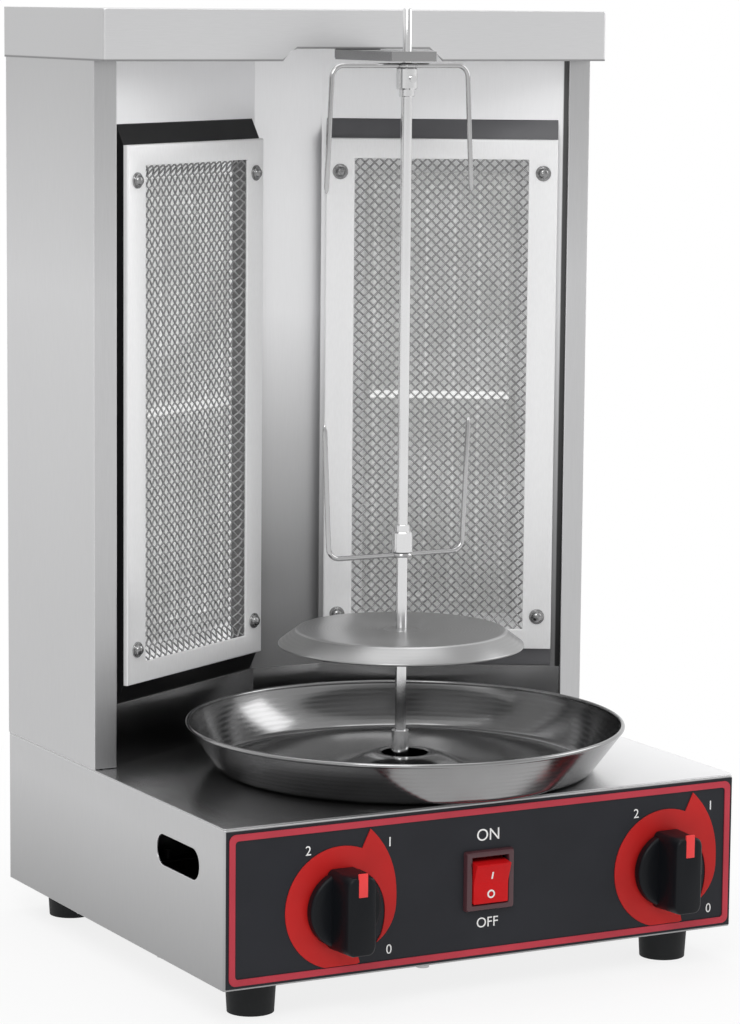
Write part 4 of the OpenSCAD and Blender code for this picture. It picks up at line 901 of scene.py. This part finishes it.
def switch_bezel():
    """A moulded surround with rounded corners and edges."""
    half_w, half_h = (switch_high.x - switch_low.x) / 2, (switch_high.z - switch_low.z) / 2
    open_w, open_h = 11.4 * MM, 13.3 * MM
    depth = switch_high.y - switch_low.y
    section = [(half_w, half_h, 0.0), (half_w, half_h, 1.6 * MM),
               (half_w - 0.7 * MM, half_h - 0.7 * MM, depth - 0.2 * MM),
               (half_w - 1.3 * MM, half_h - 1.3 * MM, depth),
               (open_w + 0.5 * MM, open_h + 0.5 * MM, depth),
               (open_w + 0.1 * MM, open_h + 0.1 * MM, depth - 0.4 * MM),
               (open_w, open_h, depth - 1 * MM), (open_w, open_h, 0.0)]
    bm = bmesh.new()
    loops = []
    for w, h, out in section:
        corner = 1.4 * MM if w > open_w + 1 * MM else 0.4 * MM
        outline = []
        for sx, sz, start in ((1, 1, 0), (-1, 1, 90), (-1, -1, 180), (1, -1, 270)):
            outline += arc((sx * (w - corner), sz * (h - corner)), corner, start, start + 90, 5)
        loops.append([bm.verts.new((SWITCH.x + px, SWITCH.y - out, SWITCH.z + pz))
                      for px, pz in outline])
    bridge(bm, loops)
    bmesh.ops.recalc_face_normals(bm, faces=bm.faces[:])
    bezel = from_bmesh("switch_bezel_moulded", bm, bezel_smoke, 40)
    dress(bezel, "housing", "bezel_smoke", "switch_bezel")


ROCKER_FACE, ROCKER_RISE = 7.7 * MM, 1.82 * MM
ROCKER_HALF_W, ROCKER_HALF_H = 11.0 * MM, 11.5 * MM


def rocker_out(share):
    """How far the rocker's hollowed face stands out, at a share of its half height."""
    return ROCKER_FACE + ROCKER_RISE * math.sqrt(share * share + 0.01)


def rocker_shell(tilt):
    """The rocker's moulding: a hollowed face, two flanks and a flat back."""
    bm = bmesh.new()
    count = 16
    shares = [-1 + 2 * i / count for i in range(count + 1)]
    rows = [[bm.verts.new((sx * ROCKER_HALF_W, -rocker_out(s), s * ROCKER_HALF_H))
             for sx in (-1, 1)] for s in shares]
    backs = [[bm.verts.new((sx * ROCKER_HALF_W, 3 * MM, sz * ROCKER_HALF_H))
              for sx in (-1, 1)] for sz in (-1, 1)]
    for a, b in zip(rows, rows[1:]):
        bm.faces.new((a[0], a[1], b[1], b[0]))
    for k in (0, 1):
        bm.faces.new([row[k] for row in rows] + [backs[1][k], backs[0][k]])
    bm.faces.new((rows[0][0], backs[0][0], backs[0][1], rows[0][1]))
    bm.faces.new((rows[-1][0], rows[-1][1], backs[1][1], backs[1][0]))
    bm.faces.new((backs[0][0], backs[1][0], backs[1][1], backs[0][1]))
    bmesh.ops.recalc_face_normals(bm, faces=bm.faces[:])
    sharp = [e for e in bm.edges if len(e.link_faces) == 2 and e.calc_face_angle(0) > 0.9]
    bmesh.ops.bevel(bm, geom=sharp, offset=0.5 * MM, segments=3, affect="EDGES", profile=0.5)
    return from_bmesh("rocker_moulded", bm, rocker_red, 40, tilt)


def rocker_mark(name, height, tilt):
    """A bar for on, or a ring for off, just proud of the rocker's face."""
    slope = math.atan2(ROCKER_RISE, ROCKER_HALF_H)
    lean = Matrix.Rotation(slope if height > 0 else -slope, 4, "X")
    out = rocker_out(height / ROCKER_HALF_H) + 0.12 * MM
    front, back = -0.1 * MM, 0.3 * MM
    bm = bmesh.new()
    if name == "on":
        add_box(bm, (-0.5 * MM, front, -2.2 * MM), (0.5 * MM, back, 2.2 * MM), 0.1 * MM, 1)
    else:
        outer, inner = (arc((0, 0), r * MM, 0, 360, 32)[:-1] for r in (2.4, 1.5))
        bridge(bm, [[bm.verts.new((px, y, pz)) for px, pz in ring]
                    for ring, y in ((outer, back), (outer, front), (inner, front))])
        bmesh.ops.recalc_face_normals(bm, faces=bm.faces[:])
    place = tilt @ Matrix.Translation((0, -out, height)) @ lean
    return from_bmesh(f"rocker_mark_{name}", bm, print_white, 40, place)


def rocker():
    pivot = Vector((SWITCH.x, WALL_Y + 3 * MM, SWITCH.z))
    tilt = Matrix.Translation(pivot) @ Matrix.Rotation(ROCKER_REST, 4, "X")
    parts = [rocker_shell(tilt), rocker_mark("on", 4.6 * MM, tilt),
             rocker_mark("off", -6.2 * MM, tilt)]
    dress(join("rocker_moulded", parts), "rocker", "rocker_red", "switch_rocker")


def lettering(name, words, x, z, size):
    """Small white print on the panel: numbers at the dials, ON and OFF at the switch."""
    curve = bpy.data.curves.new(name, "FONT")
    curve.body = words
    curve.size = size
    curve.align_x = "CENTER"
    curve.align_y = "CENTER"
    curve.extrude = 0.05 * MM
    obj = bpy.data.objects.new(name, curve)
    bpy.context.scene.collection.objects.link(obj)
    obj.matrix_world = (Matrix.Translation((x, PANEL_Y - 0.06 * MM, z))
                        @ Matrix.Rotation(math.radians(90), 4, "X"))
    bpy.context.view_layer.update()
    evaluated = obj.evaluated_get(bpy.context.evaluated_depsgraph_get())
    mesh = bpy.data.meshes.new_from_object(evaluated)
    mesh.transform(obj.matrix_world)
    bpy.data.objects.remove(obj)
    mesh.materials.clear()
    label = finish_mesh(name, mesh, print_white, 30)
    return dress(label, "housing", "print_red")


for knob_side in ("left", "right"):
    knob(knob_side)
switch_bezel()
rocker()
lettering("label_on", "ON", 0, SWITCH.z + 25 * MM, 9.5 * MM)
lettering("label_off", "OFF", 0, SWITCH.z - 24.5 * MM, 8 * MM)
for knob_side in ("left", "right"):
    knob_low, knob_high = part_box(f"{knob_side}_knob")
    knob_x = (knob_low.x + knob_high.x) / 2
    knob_z = (knob_low.z + knob_high.z) / 2
    for text, dx, dz in (("2", -20, 33), ("1", 30, 33), ("0", 30, -27)):
        lettering(f"{knob_side}_dial_{text}", text, knob_x + dx * MM, knob_z + dz * MM, 7.5 * MM)


# ---- studio ----

def ray_kinds(tree):
    """Is Camera Ray, and whether a ray is a camera, glossy or transmission one."""
    paths = tree.nodes.new("ShaderNodeLightPath").outputs
    sharp = add_math(tree, "MAXIMUM", paths["Is Camera Ray"], paths["Is Glossy Ray"])
    return paths["Is Camera Ray"], add_math(tree, "MAXIMUM", sharp, paths["Is Transmission Ray"])


def studio_floor():
    """A pale floor that shows white, less so near the object, where its shadow lies."""
    half, near, far, near_share = 12.0, 0.25, 0.6, 0.80
    bm = bmesh.new()
    bm.faces.new([bm.verts.new((sx * half, sy * half, 0))
                  for sx, sy in ((-1, -1), (1, -1), (1, 1), (-1, 1))])
    material, tree, shader = node_material("floor_pale")
    shader.inputs["Base Color"].default_value = (0.9, 0.9, 0.9, 1)
    shader.inputs["Roughness"].default_value = 0.9
    glow = tree.nodes.new("ShaderNodeEmission")
    glow.inputs["Color"].default_value = (1, 1, 1, 1)
    glow.inputs["Strength"].default_value = 1.0
    away = add_math(tree, "LENGTH", object_point(tree), kind="ShaderNodeVectorMath")
    fade = add_range(tree, away, near_share, 1.0, near, far, ease="SMOOTHSTEP")
    mix = tree.nodes.new("ShaderNodeMixShader")
    tree.links.new(add_math(tree, "MULTIPLY", ray_kinds(tree)[1], fade), mix.inputs["Fac"])
    tree.links.new(shader.outputs["BSDF"], mix.inputs[1])
    tree.links.new(glow.outputs["Emission"], mix.inputs[2])
    tree.links.new(mix.outputs["Shader"], tree.nodes["Material Output"].inputs["Surface"])
    from_bmesh("floor", bm, material)


def studio_world():
    """A white room, dimmer for diffuse light, with a darker front and a dark card."""
    world = bpy.data.worlds.new("studio")
    bpy.context.scene.world = world
    world.use_nodes = True
    tree = world.node_tree
    background = tree.nodes["Background"]
    where = tree.nodes.new("ShaderNodeTexCoord")
    axes = split_axes(tree, where.outputs["Generated"])
    camera, sharp = ray_kinds(tree)
    # the room in front of the object is darker than the white sweep behind it
    depth = add_range(tree, axes["Y"], 0.70, 1.0, -0.85, 0.1)
    # a dark card at its left gives the round rods an edge
    card = add_range(tree, axes["X"], 0.15, 1.0, -0.985, -0.95)
    room = add_math(tree, "MAXIMUM", add_math(tree, "MULTIPLY", depth, card), camera)
    strength = add_range(tree, sharp, 0.68, 1.0)
    background.inputs["Color"].default_value = (1, 1, 1, 1)
    tree.links.new(add_math(tree, "MULTIPLY", room, strength), background.inputs["Strength"])


LAMPS = (       # name, place, height looked at, size, watts
    ("key", (-1.3, -1.6, 1.9), 0.25, 1.2, 22),
    ("fill", (2.2, -0.6, 1.3), 0.25, 1.4, 14),
    ("top", (0.0, 0.2, 2.2), 0.3, 1.6, 11),
)


def area_lamp(name, place, target_z, size, watts):
    light = bpy.data.lights.new(name, "AREA")
    light.shape = "RECTANGLE"
    light.size = light.size_y = size
    light.energy = watts
    lamp = bpy.data.objects.new(name, light)
    bpy.context.scene.collection.objects.link(lamp)
    lamp.location = place
    ahead = Vector((0, 0, target_z)) - Vector(place)
    lamp.rotation_euler = ahead.to_track_quat("-Z", "Y").to_euler()


def photo_camera():
    """The photograph's view: its place, its direction and its small roll."""
    azimuth, down, roll = math.radians(28.45), math.radians(7.94), math.radians(0.52)
    place = Vector((-1009.8, -1862.95, 547.6)) * MM
    ahead = Vector((math.sin(azimuth) * math.cos(down), math.cos(azimuth) * math.cos(down),
                    -math.sin(down)))
    right = Vector((math.cos(azimuth), -math.sin(azimuth), 0))
    up = right.cross(ahead)
    turned_right = right * math.cos(roll) + up * math.sin(roll)
    turned_up = up * math.cos(roll) - right * math.sin(roll)
    data = bpy.data.cameras.new("photo_camera")
    data.sensor_fit = "VERTICAL"
    data.sensor_height = 36.0
    data.lens = 129.88
    camera = bpy.data.objects.new("photo_camera", data)
    bpy.context.scene.collection.objects.link(camera)
    axes = Matrix((turned_right, turned_up, -ahead)).transposed().to_4x4()
    camera.matrix_world = Matrix.Translation(place) @ axes
    bpy.context.scene.camera = camera


studio_floor()
studio_world()
for lamp_row in LAMPS:
    area_lamp(*lamp_row)
photo_camera()

bpy.context.scene.view_settings.view_transform = "Standard"
